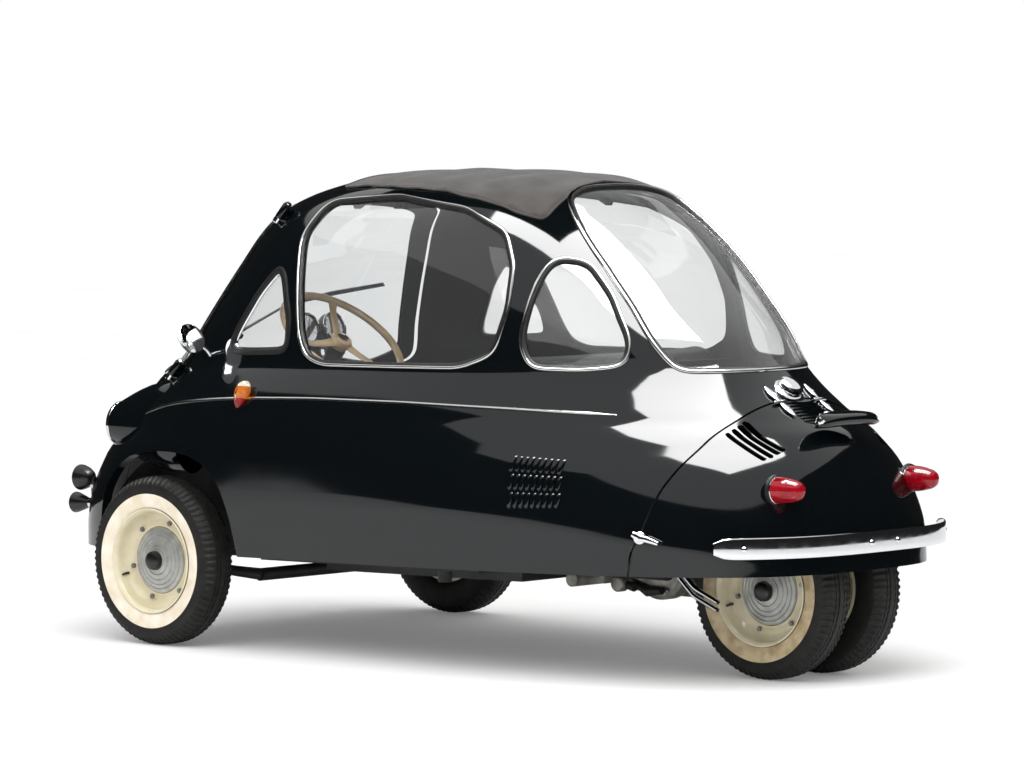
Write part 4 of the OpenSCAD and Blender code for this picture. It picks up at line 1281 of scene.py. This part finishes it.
# %% Side louvres
def louvre(shape, foot, head, slot=0, width=8.0, proud=5.0):
    """A pressed louvre: a blister between two side-elevation points, open along one side."""
    ends = np.linspace(0, 1, 13)[:, None]
    line = np.array(foot) * (1 - ends) + np.array(head) * ends
    turn_z, _ = from_side(line)
    base, out = skin_point(turn_z[:, 0], turn_z[:, 1]), skin_normal(turn_z[:, 0], turn_z[:, 1])
    way = np.gradient(base, axis=0)
    side = np.cross(way, out)
    side /= np.linalg.norm(side, axis=1, keepdims=True)
    swell = np.sqrt(np.clip(1 - (2 * ends - 1)**2, 0, 1)) ** 0.7
    curve = [(-0.5, -0.15), (-0.42, 0.45), (-0.15, 0.9), (0.2, 1.0), (0.45, 0.85), (0.5, 0.6), (0.4, -0.15)]
    rows = np.stack([base + a * width * (0.35 + 0.65 * swell) * side + b * proud * swell * out - 0.3 * out
                     for a, b in curve], axis=1)
    shape.grid(rows, slot, caps=True)


louvres = Shape()
for column in range(9):
    for row in range(3):
        x = -404 - 17.5 * column
        top, low = 583 - 1.0 * column, 440 + 0.5 * column
        high = top - (top - low) / 3 * row
        deep = (top - low) / 3 - 5
        louvre(louvres, (x - 4.0 - 3.0 * row - 2, high), (x + 7.0 - 3.0 * row - 6, high - deep), 0, 12, 6.0)
louvres.mirrored()
make_piece("side_louvres", louvres, [enamel], "chassis", [], sharp=50)

# %% [markdown]
# The door mirror is a round chromed head on a bent stalk; its glass faces the driver.

# %% Mirror
mirror_shape = Shape()
mirror_at = np.array([796.0, 572, 868])
mirror_way = (0.9, -0.16, -0.4)
mirror_shape.lathe([(0, 24), (14, 22), (28, 15), (38, 6), (43, 0), (43.5, -4), (40, -5.5)], mirror_at,
                   mirror_way)
mirror_shape.lathe([(40, -3), (40, -5), (0, -5)], mirror_at, mirror_way, 1)
mirror_shape.tube([(786, 494, 812), (794, 512, 836), (806, 540, 858), (816, 566, 868), (818, 580, 872)],
                  [6, 5, 4.5, 4.5, 5])
mirror_shape.lathe([(0, -6), (13, -5), (12, 2), (6, 6), (0, 7)], (786, 492, 811), (0.1, 0.75, 0.65), 0, 24)
make_piece("door_mirror", mirror_shape, [chrome, chrome], "chassis", ["wing_mirror"], sharp=40)

# %% [markdown]
# The filler cap on the rear deck is a chromed bayonet cap on a stepped collar: three lathed profiles about
# one slanted line.

# %% Filler cap
cap_out = np.array([-0.6, 0, 0.8])
cap = Shape()
cap.lathe([(48, -12), (47, -2), (42, 2), (36, 3), (35, 8), (31, 9)], (-862, 0, 742), cap_out)
cap.lathe([(30, 4), (30, 9), (34, 10), (34, 18), (31, 22), (24, 25), (10, 27), (0, 27.5)], (-862, 0, 742),
          cap_out)
cap.lathe([(33, 3), (32, 10), (31, 10), (31, 3)], (-862, 0, 742), cap_out, 1)
make_piece("filler_cap", cap, [chrome, seal_rubber], "chassis", ["fuel_cap"], sharp=35)

# %% [markdown]
# The door hangs on two bright pins in black barrels at the left pillar. Pins stay with the car and barrels
# swing with the door, so they are two pieces that share one line.

# %% Door hinges
HINGE_LOW, HINGE_HIGH = np.array([936.0, 496, 776]), np.array([636.0, 366, 1214])
HINGE_WAY = (HINGE_HIGH - HINGE_LOW) / np.linalg.norm(HINGE_HIGH - HINGE_LOW)
pins, sleeves = Shape(), Shape()
for at in (HINGE_LOW, HINGE_HIGH):
    pins.lathe([(0, -34), (9, -33), (12, -30), (12, -16.5), (5.2, -16.5)], at, HINGE_WAY, 0, 28)
    pins.lathe([(5, -30), (5, 29), (9, 29.5), (10, 33), (7, 36), (0, 37)], at, HINGE_WAY, 0, 24)
    sleeves.lathe([(5.3, -15.5), (11, -15.5), (12.5, -13), (12.5, 26), (11, 28.5), (5.3, 28.5)], at,
                  HINGE_WAY, 0, 28)
    leaf = at + 14 * HINGE_WAY
    sleeves.tube([leaf, leaf + [12, -14, 2], leaf + [22, -34, 0]], [10, 12, 15], 0, 14, 0.4, (0.8, 0.4, 0.4))
    pins.tube([at - 23 * HINGE_WAY, at - 23 * HINGE_WAY + [-16, 4, -8], at - 23 * HINGE_WAY + [-32, 2, -14]],
              [8, 10, 13], 1, 14, 0.4, (0.3, 0.9, 0.3))
make_piece("hinge_pins", pins, [chrome, enamel], "chassis", ["door_hinge_pins"], sharp=40)
make_piece("hinge_barrels", sleeves, [enamel], "front_door", ["door_hinge_sleeves"], sharp=40)

# %% [markdown]
# The handle is a chromed bar on a short stem. A tube whose radius swells at its middle gives its hand-grip.

# %% Door handle
handle = Shape()
bar_way = np.array([-math.sin(math.radians(20)), math.cos(math.radians(20)), 0])
start = np.array([1140.0, -440, 722])
handle.tube([start, start + 12 * bar_way, start + 50 * bar_way, start + 84 * bar_way, start + 95 * bar_way],
            [4, 7.5, 8, 7.5, 4])
handle.tube([(1100, -420, 722), (1120, -420, 722), (1139, -420, 722)], [11, 7, 6])
make_piece("door_pull", handle, [chrome], "front_door", ["door_handle"], sharp=50)

# %% [markdown]
# One wiper sweeps the windscreen: a black arm from a spindle in the door, and a blade with a rubber edge.

# %% Wiper
wiper = Shape()
wiper.tube([(1116, 60, 862), (1090, -20, 902), (1054, -110, 950)], [5, 4, 3.5])
wiper.lathe([(9, -18), (10, 4), (7, 9), (0, 11)], (1112, 60, 862), (0.82, 0, 0.57), 0, 24)
wiper.tube([(1054, -106, 948), (1006, -232, 973), (914, -352, 996)], [4, 4.5, 3.5])
wiper.tube([(1050, -106, 943), (1002, -232, 967), (910, -352, 991)], [3, 3, 2.5], 1, 8)
make_piece("windscreen_wiper", wiper, [black_plastic, seal_rubber], "front_door", ["wiper"])

# %% [markdown]
# The bumper is a chromed blade that follows the tail, with rolled edges and round-headed bolts. One section
# is swept along a line kept at a fixed distance from the skin.

# %% Bumper
LOW_LEVEL = 360.0


def bumper_line(offset, degrees, z):
    """Points round the tail at an offset from the skin at bumper height."""
    turn = np.radians(degrees)
    p = skin_point(turn, np.full(len(turn), LOW_LEVEL), -offset)
    p[:, 2] = z
    return p


BLADE = np.linspace(141.8, 218.2, 61)
outer, blade = bumper_line(50, BLADE, 353), Shape()
inward = bumper_line(49, BLADE, 353) - outer
inward /= np.linalg.norm(inward, axis=1, keepdims=True)
taper = np.sqrt(np.clip(1 - (np.abs(BLADE - 180) / 38.4)**44, 0.3, 1))
shape_of_blade = [(4.2, 27.5), (1.5, 27.8), (-0.4, 25), (-1, 14), (-1.2, 0), (-1, -14), (-0.4, -25),
                  (1.5, -27.8),
                  (4.2, -27.5), (5.2, -20), (3.5, 0), (5.2, 20)]
rows = np.stack([outer + a * inward + (b * taper)[:, None] * np.array([0, 0, 1.0]) for a,
                 b in shape_of_blade],
                axis=1)
blade.grid(rows, caps=True)
for degrees in (146, 175.4, 184.6, 214):
    bolt_at = bumper_line(51, np.array([degrees]), 351)[0]
    bolt_out = bolt_at - bumper_line(40, np.array([degrees]), 351)[0]
    blade.lathe([(0, -6), (9, -6), (9, 1), (7, 4.5), (3, 6.2), (0, 6.5)], bolt_at, bolt_out, 0, 24)
for side in (-1, 1):
    for height in (352, 364):
        blade.tube([(-1172 + 60, side * 296, height), (-1090, side * 290, height),
                    (-1050, side * 285, height)],
                   [7, 7, 7], 1)
    blade.tube([(-1128, side * 300, 354), (-1092, side * 300, 354)], 12, 1, 10)
make_piece("blade_bumper", blade, [chrome, chassis_black], "tail_lid", ["bumper"], sharp=50)

# %% [markdown]
# The tail lamps are bullets of ruby acrylic, a lathed profile, on rubber gaskets with a thin bright ring.

# %% Bullet lamps
tail_lights = Shape()
bullet = [(36, 0), (36, 22), (34.5, 45), (31, 66), (26, 84), (20, 94), (10, 98), (0, 99)]
tail_at, rearward = np.array([-1032.0, 288, 497]), (-1, 0, 0)
tail_lights.lathe([(31, 4)] + [(r * 0.97, h) for r, h in bullet], tail_at, rearward, 0, 48)
tail_lights.lathe([(0, 2), (38, 2), (40, 6), (39, 12), (35, 14)], tail_at, rearward, 1, 48)
tail_lights.lathe([(34.8, 12), (36.6, 14), (36.6, 17), (35, 18)], tail_at, rearward, 2, 48)
tail_lights.lathe([(3.4, 0), (3.4, 3), (0, 4)], tail_at + [-60, 20, 24], (-0.35, 0.6, 0.7), 2, 14)
tail_lights.mirrored()
make_piece("bullet_tail_lamps", tail_lights, [red_lens, seal_rubber, chrome], "tail_lid", ["tail_lamps"],
           sharp=50)

# %% [markdown]
# A black hood shades the number plate. It is a curved wing: one closed section for each step across, with
# its front edge bowed back and its ends drawn in.

# %% Plate hood
hood = Shape()
rows = []
for y in 131 * np.sin(np.linspace(-0.5, 0.5, 33) * math.pi):
    share = abs(y) / 131
    front, rear = -998 - 52 * share**2, -1076 + 14 * share**5
    full = math.sqrt(max(0.03, 1 - share**5))
    crest = 668 + 20 * full - 5 * share**2
    low = crest - 12 - 24 * full
    rows.append([(front, y, crest - 6), (front - 0.25 * (front - rear), y, crest + 2 * full),
                 (front - 0.6 * (front - rear), y, crest + 1), (rear + 10, y, crest - 5),
                 (rear + 2, y, crest - 12),
                 (rear, y, 0.5 * (crest + low)), (rear + 3, y, low + 4), (rear + 12, y, low),
                 (rear + 26, y, low + 6), (front, y, crest - 14)])
hood.grid(rows, caps=True)
make_piece("plate_hood_shell", hood, [enamel], "tail_lid", ["plate_hood"], sharp=60)

# %% [markdown]
# The tail cover hangs on two chromed T-hinges. They follow the deck, so their lines are found on the skin
# and lifted a few millimetres along its normal.

# %% Cover hinges
def on_skin_at(x, y):
    """The skin above a plan point near the tail, and its outward direction."""
    found = slide_out(np.array([[x, abs(y), 500.0]]), np.array([0, 0, 1.0]), 0.0, 500)
    p, n = skin_point(found[:, 0], found[:, 1])[0], skin_normal(found[:, 0], found[:, 1])[0]
    flip = np.array([1, -1 if y < 0 else 1, 1])
    return p * flip, n * flip


hinges = Shape()
for near_x, far_x in ((-846, -892), (-899, -946)):
    line, outs = zip(*[on_skin_at(x, 84) for x in np.linspace(near_x, far_x, 7)])
    line = [p + 5 * n for p, n in zip(line, outs)]
    hinges.tube(line, [4, 9, 11.5, 12, 11, 8, 3], 0, 18, 0.42, outs[3])
at, out = on_skin_at(-895.5, 84)
hinges.tube([at + 5 * out + [0, y, 0] for y in (-26, -20, 20, 26)], [3, 5.5, 5.5, 3])
for x in (-870, -922):
    spot, way = on_skin_at(x, 84)
    hinges.lathe([(3.6, 6), (3.4, 11), (0, 12)], spot, way, 0, 12)
hinges.mirrored()
make_piece("cover_hinge_tees", hinges, [chrome], "tail_lid", ["cover_hinges"], sharp=60)

# %% [markdown]
# Seven bowed louvres under the filler let air out of the engine bay.

# %% Deck grille
grille = Shape()
for row in range(7):
    line, outs = [], []
    for k in range(15):
        y = -66 + 132 * k / 14
        p, n = on_skin_at(-912 - 11 * row + 0.003 * y * y, y)
        line.append(p + 1.5 * n)
        outs.append(n)
    line, outs = np.array(line), np.array(outs)
    swell = np.sqrt(np.clip(1 - np.linspace(-1, 1, 15)**4, 0.05, 1))[:, None]
    way = np.gradient(line, axis=0)
    down = np.cross(way, outs)
    down /= np.linalg.norm(down, axis=1, keepdims=True)
    curve = [(-4.2, -3), (-3.4, 1), (-1, 5), (2.2, 7), (3.6, 6), (3.0, -3)]
    grille.grid(np.stack([line + a * down + b * swell * outs for a, b in curve], axis=1), 0, caps=True)
make_piece("deck_grille", grille, [enamel], "tail_lid", [], sharp=50)

# %% [markdown]
# A chromed catch with a thumb lever holds the cover at each side.

# %% Latches
latches = Shape()
latch_at = np.array([-792.0, 541, 378])
latch_out = np.array([-0.45, 0.89, 0.05])
latches.lathe([(0, -14), (17, -12), (17, 2), (14, 5), (0, 6)], latch_at, latch_out, 0, 28)
latches.tube([latch_at + 6 * latch_out, latch_at + 12 * latch_out + [-18, -7, -3],
              latch_at + 9 * latch_out + [-46, -20, -14]], [9, 8, 5], 0, 14, 0.5, latch_out)
latches.tube([latch_at + 2 * latch_out + [18, 8, 10], latch_at + 4 * latch_out,
              latch_at + 2 * latch_out + [-10, -5, -6]], [7, 11, 8], 0, 12, 0.5, latch_out)
latches.mirrored()
make_piece("cover_catches", latches, [chrome], "tail_lid", ["cover_latches"], sharp=50)
print("tail fitted")

# %% [markdown]
# The tyres are 4.40-10 cross-plies: five ribs round the tread, sipes across the shoulders and a pale band
# on the outer wall. They are drawn as one section turned round the axle, with the sipes pressed in.

# %% Tyres
TYRE_R, HALF_W = 235.0, 56.0
TREAD = [(40.0, 228.0), (37, 231), (35, 232), (27, 234.2), (25.5, 234.4), (24.5, 230.5), (22, 230.5),
         (21, 234.6),
         (12.5, 235), (11.5, 231), (9, 231), (8, 235)]
WALL = [(42, 142.5), (47, 147), (50, 152), (53.5, 163), (55.4, 176), (56, 187), (55.8, 196), (54.8, 205),
        (53, 213),
        (50, 219.5), (46.5, 223.5), (43, 226)]


def tyre_shape(shape, centre, outer_side, steps=312):
    """Adds one tyre; outer_side is +1 or -1, the side that carries the pale band."""
    right = WALL + TREAD
    section = [(-w, r) for w, r in right] + [(w, r) for w, r in right[::-1]]
    section = [(min(max(w, -HALF_W), HALF_W), r) for w, r in section]
    widths = np.array([w for w, _ in section])
    radii = np.array([r for _, r in section])
    turns = np.linspace(0, math.tau, steps, endpoint=False)
    sipe = (np.arange(steps) % 4 < 2)
    shoulder = (np.abs(widths) > 33) & (np.abs(widths) < 52) & (radii > 217)
    rib = (np.abs(widths) > 12) & (np.abs(widths) < 28) & (radii > 234)
    r_all = radii[None, :] - sipe[:, None] * (5.0 * shoulder + 2.0 * rib)[None, :]
    rows = np.stack([centre[0] + r_all * np.cos(turns)[:, None],
                     np.broadcast_to(centre[1] + widths[None, :], r_all.shape),
                     centre[2] + r_all * np.sin(turns)[:, None]], axis=-1)
    rows = np.concatenate([rows, rows[:1]])
    n, m = rows.shape[:2]
    faces = [(i * m + j, i * m + (j + 1) % m, (i + 1) * m + (j + 1) % m, (i + 1) * m + j)
             for i in range(n - 1) for j in range(m)]
    pale = [outer_side * (widths[j] + widths[(j + 1) % m]) > 90
            and 144 < (radii[j] + radii[(j + 1) % m]) / 2 < 186 for j in range(m)]
    start = len(shape.faces)
    shape.add(rows.reshape(-1, 3), faces)
    for i in range(n - 1):
        for j in range(m):
            shape.slots[start + i * m + j] = 1 if pale[j] else 0

# %% [markdown]
# The tyres are placed by the construction model: its boxes give both axles and both tracks. The rear pair
# turns as one, so it is one piece.

# %% Fitting the tyres
FRONT_X = (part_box("front_tyre_left")[0].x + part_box("front_tyre_left")[1].x) * 500
REAR_X = (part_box("rear_tyres")[0].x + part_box("rear_tyres")[1].x) * 500
TRACK = (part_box("front_tyre_left")[0].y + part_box("front_tyre_left")[1].y) * 500
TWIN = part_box("rear_tyres")[1].y * 1000 - HALF_W
for side, node in ((1, "left"), (-1, "right")):
    tyre = Shape()
    tyre_shape(tyre, (FRONT_X, side * TRACK, TYRE_R), side)
    make_piece("front_cross_ply_" + node, tyre, [tyre_rubber, white_wall], f"front_{node}_wheel",
               ["front_tyre_" + node], lean=False, sharp=30)
twins = Shape()
for side in (1, -1):
    tyre_shape(twins, (REAR_X, side * TWIN, TYRE_R), side)
make_piece("rear_cross_plies", twins, [tyre_rubber, aged_wall], "rear_wheels", ["rear_tyres"],
           lean=False,
           sharp=30)

# %% [markdown]
# Each rim is a cream-enamelled steel pressing with a rolled flange. Its middle is open, and a turned alloy
# brake drum with rings cut in its face shows there, with six nuts round it and a black centre cap.

# %% Rims and drums
RIM_PROFILE = [(141.5, -42), (141.5, 30), (144, 47), (146.5, 50), (146, 52.5), (143, 52), (139, 47),
               (136, 43),
               (134.5, 36), (133, 22), (128, 10), (121, 3), (112, 1), (104, 4), (97, 9), (94, 9), (93, 5),
               (95, -3),
               (108, -6), (120, -6), (128, -12), (131, -30), (133, -42)]
DRUM_PROFILE = [(93, -20), (93, 10), (90, 14), (82, 16), (80, 14.5), (78, 17), (70, 18.5), (68, 17),
                (66, 19.5),
                (57, 21), (55, 19.5), (53, 22), (42, 24), (40, 22), (38, 25), (32, 27), (28, 28), (27, 30)]
CAP_PROFILE = [(27, 27), (27, 38), (25, 45), (20, 49), (10, 51), (0, 51.5)]


def wheel_middle(shape, centre, side):
    """Rim, drum, nuts, cap and valve of one wheel; side is the way its outer face looks."""
    way = (0, side, 0)
    rim_rows = RIM_PROFILE + RIM_PROFILE[:1]
    u, v, w = frame_along(way)
    angles = np.linspace(0, math.tau, 96, endpoint=False)
    ring = np.cos(angles)[:, None] * u + np.sin(angles)[:, None] * v
    shape.grid([np.array(centre) + r * ring + h * w for r, h in rim_rows], 0)
    shape.lathe(DRUM_PROFILE + [(0, 30)], centre, way, 1, 72)
    shape.lathe(CAP_PROFILE, centre, way, 2, 36)
    for k in range(6):
        a = math.radians(60 * k + 12)
        spot = np.array(centre) + 109 * (math.cos(a) * u + math.sin(a) * v)
        shape.lathe([(0, 0), (11, 1), (11, 4), (7.5, 5)], spot, way, 0, 20)
        shape.lathe([(0, 3), (7.5, 3), (7.5, 11), (6, 13), (0, 13)], spot, way, 3, 6)
    a = math.radians(200)
    spot = np.array(centre) + 128 * (math.cos(a) * u + math.sin(a) * v) + 14 * w
    shape.tube([spot, spot + 10 * w, spot + 24 * w - 3 * v], [4, 3.5, 3], 2, 10)

# %% [markdown]
# The same middle serves every wheel; the side tells which way its face looks.

# %% Fitting the rims
WHEEL_FINISHES = [rim_enamel, drum_alloy, black_plastic, bare_steel]
for side, node in ((1, "left"), (-1, "right")):
    middle = Shape()
    wheel_middle(middle, (FRONT_X, side * TRACK, TYRE_R), side)
    make_piece("front_rim_and_drum_" + node, middle, WHEEL_FINISHES, f"front_{node}_wheel",
               ["front_rim_" + node], lean=False, sharp=35)
middle = Shape()
for side in (1, -1):
    wheel_middle(middle, (REAR_X, side * TWIN, TYRE_R), side)
make_piece("rear_rims_and_drums", middle, WHEEL_FINISHES, "rear_wheels", ["rear_rims"], lean=False,
           sharp=35)

# %% [markdown]
# Under the tail hang the small single-cylinder engine and its silencer. The engine is a group of castings:
# crankcase, finned barrel, cooling cowl, carburettor and the chain case that reaches the rear wheels.

# %% Engine and exhaust
low, high = (v * 1000 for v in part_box("engine_block"))
engine = Shape()
engine.bar((low.x + 40, -110, low.z + 30), (high.x - 50, 60, 330), 0)
engine.lathe([(0, 0), (86, 0), (92, 8), (92, 50), (80, 62), (30, 66), (0, 66)], (low.x + 130, 60, 275),
             (0, 1, 0), 0)
engine.lathe([(0, 0), (60, 0), (64, 6), (60, 44), (20, 50), (0, 50)], (high.x - 70, 60, 262), (0, 1, 0), 0,
             40)
fin_rows = []
for k in range(9):
    z = 335 + 17 * k
    fin_rows += [(48, z - 6), (78, z - 5), (78, z + 2), (48, z + 3)]
engine.lathe([(0, 320)] + fin_rows + [(50, 494), (0, 498)], (low.x + 140, -30, 0), (0, 0, 1), 0, 40)
engine.bar((low.x + 10, -195, 360), (low.x + 100, -120, 500), 1)
engine.tube([(high.x - 60, 96, 300), (high.x - 30, 110, 262), (high.x - 40, 130, 222),
             (high.x - 90, 140, 214)],
            [16, 15, 13, 12], 1, 14)
engine.lathe([(0, 0), (20, 0), (22, 4), (22, 30), (18, 34), (0, 34)], (high.x - 40, 126, 222), (0, 1, 0), 0,
             24)
for k in range(5):
    engine.lathe([(0, 0), (8, 0), (8, 5), (5, 7), (0, 7)],
                 (low.x + 130 + 76 * math.cos(1.25 * k + 0.4), 126, 275 + 76 * math.sin(1.25 * k + 0.4)),
                 (0, 1, 0),
                 2, 6)
engine.bar((low.x + 60, -60, low.z + 4), (high.x - 90, 40, low.z + 34), 0)
engine.tube([(low.x + 200, 120, 224), (low.x + 150, 134, 206), (low.x + 96, 140, 212)], [11, 14, 11], 1, 14)
make_piece("engine_castings", engine, [engine_alloy, chassis_black, bare_steel], "chassis", ["engine_block"],
           3, lean=False, sharp=40)

# %% [markdown]
# The silencer is a black drum with rolled ends. Two thin chromed pipes leave it, bent down and back.

# %% Exhaust
pipe = Shape()
centre_x = MID_X * 1000
pipe.lathe([(0, 0), (26, 1), (35, 6), (36, 14), (36, 216), (35, 224), (26, 229), (0, 230)],
           (centre_x - 620, 215, 285), (1, 0, 0), 1, 36)
for k in (0, 1):
    bend = np.array([centre_x - 700, 212 + 2 * k, 236 - 20 * k])
    into, away = np.array([0.743, 0, 0.669]), np.array([-0.927, 0, -0.375])
    steps = [bend + 84 * into, bend + 40 * into, bend + 12 * into, bend + 3 * into + 2 * away,
             bend + 12 * away,
             bend + 60 * away, bend + 88 * away]
    pipe.tube(steps, 6.9, 0, 16)
    pipe.tube([bend + 86 * away, bend + 89.2 * away], [5.4, 5.2], 2, 14)
make_piece("silencer_and_tailpipes", pipe, [chrome, chassis_black, seal_rubber], "chassis", ["exhaust"],
           lean=False, sharp=50)

# %% [markdown]
# The front axle is a tube across the car with a leading arm at each end, forked round the kingpin.

# %% Front axle
axle = Shape()
TUBE_X, KING_Y = FRONT_X - 178, 525.0
axle.lathe([(0, -412), (18, -410), (18, 410), (0, 412)], (TUBE_X, 0, 192), (0, 1, 0), 0, 28)
for side in (1, -1):
    king = np.array([FRONT_X, side * KING_Y, 0])
    axle.tube([(TUBE_X, side * 400, 192), (TUBE_X + 60, side * 440, 200), (FRONT_X - 62, side * 496, 214),
               (FRONT_X - 52, side * 502, 225)], [17, 15, 13, 13], 0, 14)
    for low, high in ((151, 153), (315, 313)):
        axle.tube([(FRONT_X - 54, side * 501, 226), (FRONT_X - 48, side * 504, 0.4 * 226 + 0.6 * low),
                   (FRONT_X - 30, side * 512, low), (FRONT_X - 2, side * 524, high)], [12, 11, 9, 8], 0, 14)
    axle.lathe([(0, 147), (17, 147), (17, 156), (8, 156), (8, 312), (17, 312), (17, 321), (0, 321)], king,
               (0, 0, 1), 1, 24)
make_piece("front_axle_and_arms", axle, [chassis_black, bare_steel], "chassis", ["front_axle"],
           lean=False, sharp=40)

# %% [markdown]
# The plain pieces of the construction model are right as they are: pans, hoops, axle, knuckles. They only
# take their finish.

# %% Finishes for the plain pieces
PLAIN = {"floor_pan": chassis_black, "wheel_wells": chassis_black, "roof_bows": chassis_black,
         "bulkhead": inner_black, "bench_frame": chassis_black, "pedals": black_plastic,
         "swing_arm": engine_alloy, "knuckle_left": chassis_black,
         "knuckle_right": chassis_black, "rear_axle": bare_steel}
for node, material in PLAIN.items():
    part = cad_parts[node]
    part.data.materials.clear()
    part.data.materials.append(material)
    print(node, "in", material.name)

# %% [markdown]
# The car stands on a plain pale floor in a white studio. A broad overhead lamp and the white surround light
# it evenly; a dark curtain all round, seen only in reflections, gives gloss its black sides.

# %% Studio
scene = bpy.context.scene
scene.view_settings.view_transform = "Standard"
world = bpy.data.worlds.new("studio_world")
scene.world = world
world.use_nodes = True
tree = world.node_tree
path = add_node(tree, "ShaderNodeLightPath")
seen = add_node(tree, "ShaderNodeMath", {"operation": "MAXIMUM"}, i0=path.outputs["Is Camera Ray"],
                i1=path.outputs["Is Transmission Ray"])
seen = add_node(tree, "ShaderNodeMath", {"operation": "MAXIMUM"}, i0=seen.outputs[0],
                i1=path.outputs["Is Glossy Ray"])
level = add_node(tree, "ShaderNodeMapRange", None, Value=seen.outputs[0], To_Min=1.12, To_Max=1.0)
back = tree.nodes["Background"]
back.inputs["Color"].default_value = (1, 1, 1, 1)
tree.links.new(level.outputs["Result"], back.inputs["Strength"])
print("world strength:", 1.12, "as light and", 1.0, "where it is seen")

# %% [markdown]
# The floor takes the shadow and glows a little, so that it meets the white background. The softbox lights
# the car and is brightest in its reflections. A black card, in reflections only, keeps it off the roof.

# %% Floor and softbox
def stage_plane(name, size, at, material, turn=(0, 0, 0)):
    half_x, half_y = size[0] / 2, size[1] / 2
    mesh = bpy.data.meshes.new(name)
    mesh.from_pydata([(-half_x, -half_y, 0), (half_x, -half_y, 0), (half_x, half_y, 0), (-half_x, half_y, 0)],
                     [], [(0, 1, 2, 3)])
    mesh.materials.append(material)
    obj = bpy.data.objects.new(name, mesh)
    obj.location, obj.rotation_euler = at, turn
    scene.collection.objects.link(obj)
    return obj


floor_paint, tree, shader = finish_named("studio_floor_paint", "#e6e6e6", Roughness=0.9,
                                         Specular_IOR_Level=0.0)
mottle(tree, shader, 900, "#e4e4e4", "#e8e8e8", "Base Color")
path = add_node(tree, "ShaderNodeLightPath")
shader.inputs["Emission Color"].default_value = (1, 1, 1, 1)
glow = add_node(tree, "ShaderNodeMath", {"operation": "MULTIPLY"}, i0=path.outputs["Is Camera Ray"], i1=0.12)
tree.links.new(glow.outputs[0], shader.inputs["Emission Strength"])
stage_plane("floor", (60, 60), (0, 0, 0), floor_paint)

softbox, tree, shader = finish_named("softbox_cloth", "#ffffff", Roughness=1.0)
path = add_node(tree, "ShaderNodeLightPath")
shader.inputs["Emission Color"].default_value = (1, 1, 1, 1)
glow = add_node(tree, "ShaderNodeMapRange", None, Value=path.outputs["Is Glossy Ray"], To_Min=2.0,
                To_Max=19.0)
tree.links.new(glow.outputs["Result"], shader.inputs["Emission Strength"])
box = stage_plane("softbox", (3.0, 2.2), (-1.0, 0.3, 3.6), softbox)
box.visible_camera = False
flag_cloth, tree, shader = finish_named("black_flag_cloth", "#060606", Roughness=1.0, Specular_IOR_Level=0.0)
mottle(tree, shader, 200, "#050505", "#080808", "Base Color")
flag = stage_plane("roof_flag", (1.15, 1.05), (0.08, -0.10, 1.66), flag_cloth)
for unseen in ("visible_camera", "visible_diffuse", "visible_transmission", "visible_shadow"):
    setattr(flag, unseen, False)

# %% [markdown]
# The curtain is a black ring round the stage, for reflections only. One broad lamp from the left rear
# gives the soft shadow its direction.

# %% Curtain and key lamp
curtain, tree, shader = finish_named("black_curtain", "#0a0a0a", Roughness=0.9)
mottle(tree, shader, 400, "#080808", "#0d0d0d", "Base Color")
ring = bpy.data.meshes.new("curtain")
turns = np.linspace(0, math.tau, 48, endpoint=False)
ring_points = [(7 * math.cos(t), 7 * math.sin(t), z) for z in (0.0, 5.0) for t in turns]
ring.from_pydata(ring_points, [], [(i, (i + 1) % 48, 48 + (i + 1) % 48, 48 + i) for i in range(48)])
ring.materials.append(curtain)
curtain_ring = bpy.data.objects.new("curtain", ring)
scene.collection.objects.link(curtain_ring)
for flag in ("visible_camera", "visible_diffuse", "visible_transmission", "visible_shadow",
             "visible_volume_scatter"):
    setattr(curtain_ring, flag, False)

key = bpy.data.lights.new("key_softbox", "AREA")
key.shape, key.size, key.size_y, key.energy = "RECTANGLE", 4.0, 3.0, 90
key_lamp = bpy.data.objects.new("key_softbox", key)
key_lamp.location = (-1.5, 3.0, 3.4)
key_lamp.rotation_euler = (Vector((0, 0, 0.6)) - key_lamp.location).to_track_quat("-Z", "Y").to_euler()
scene.collection.objects.link(key_lamp)
key_lamp.visible_glossy = False
print("stage: floor, softbox, curtain and one lamp")
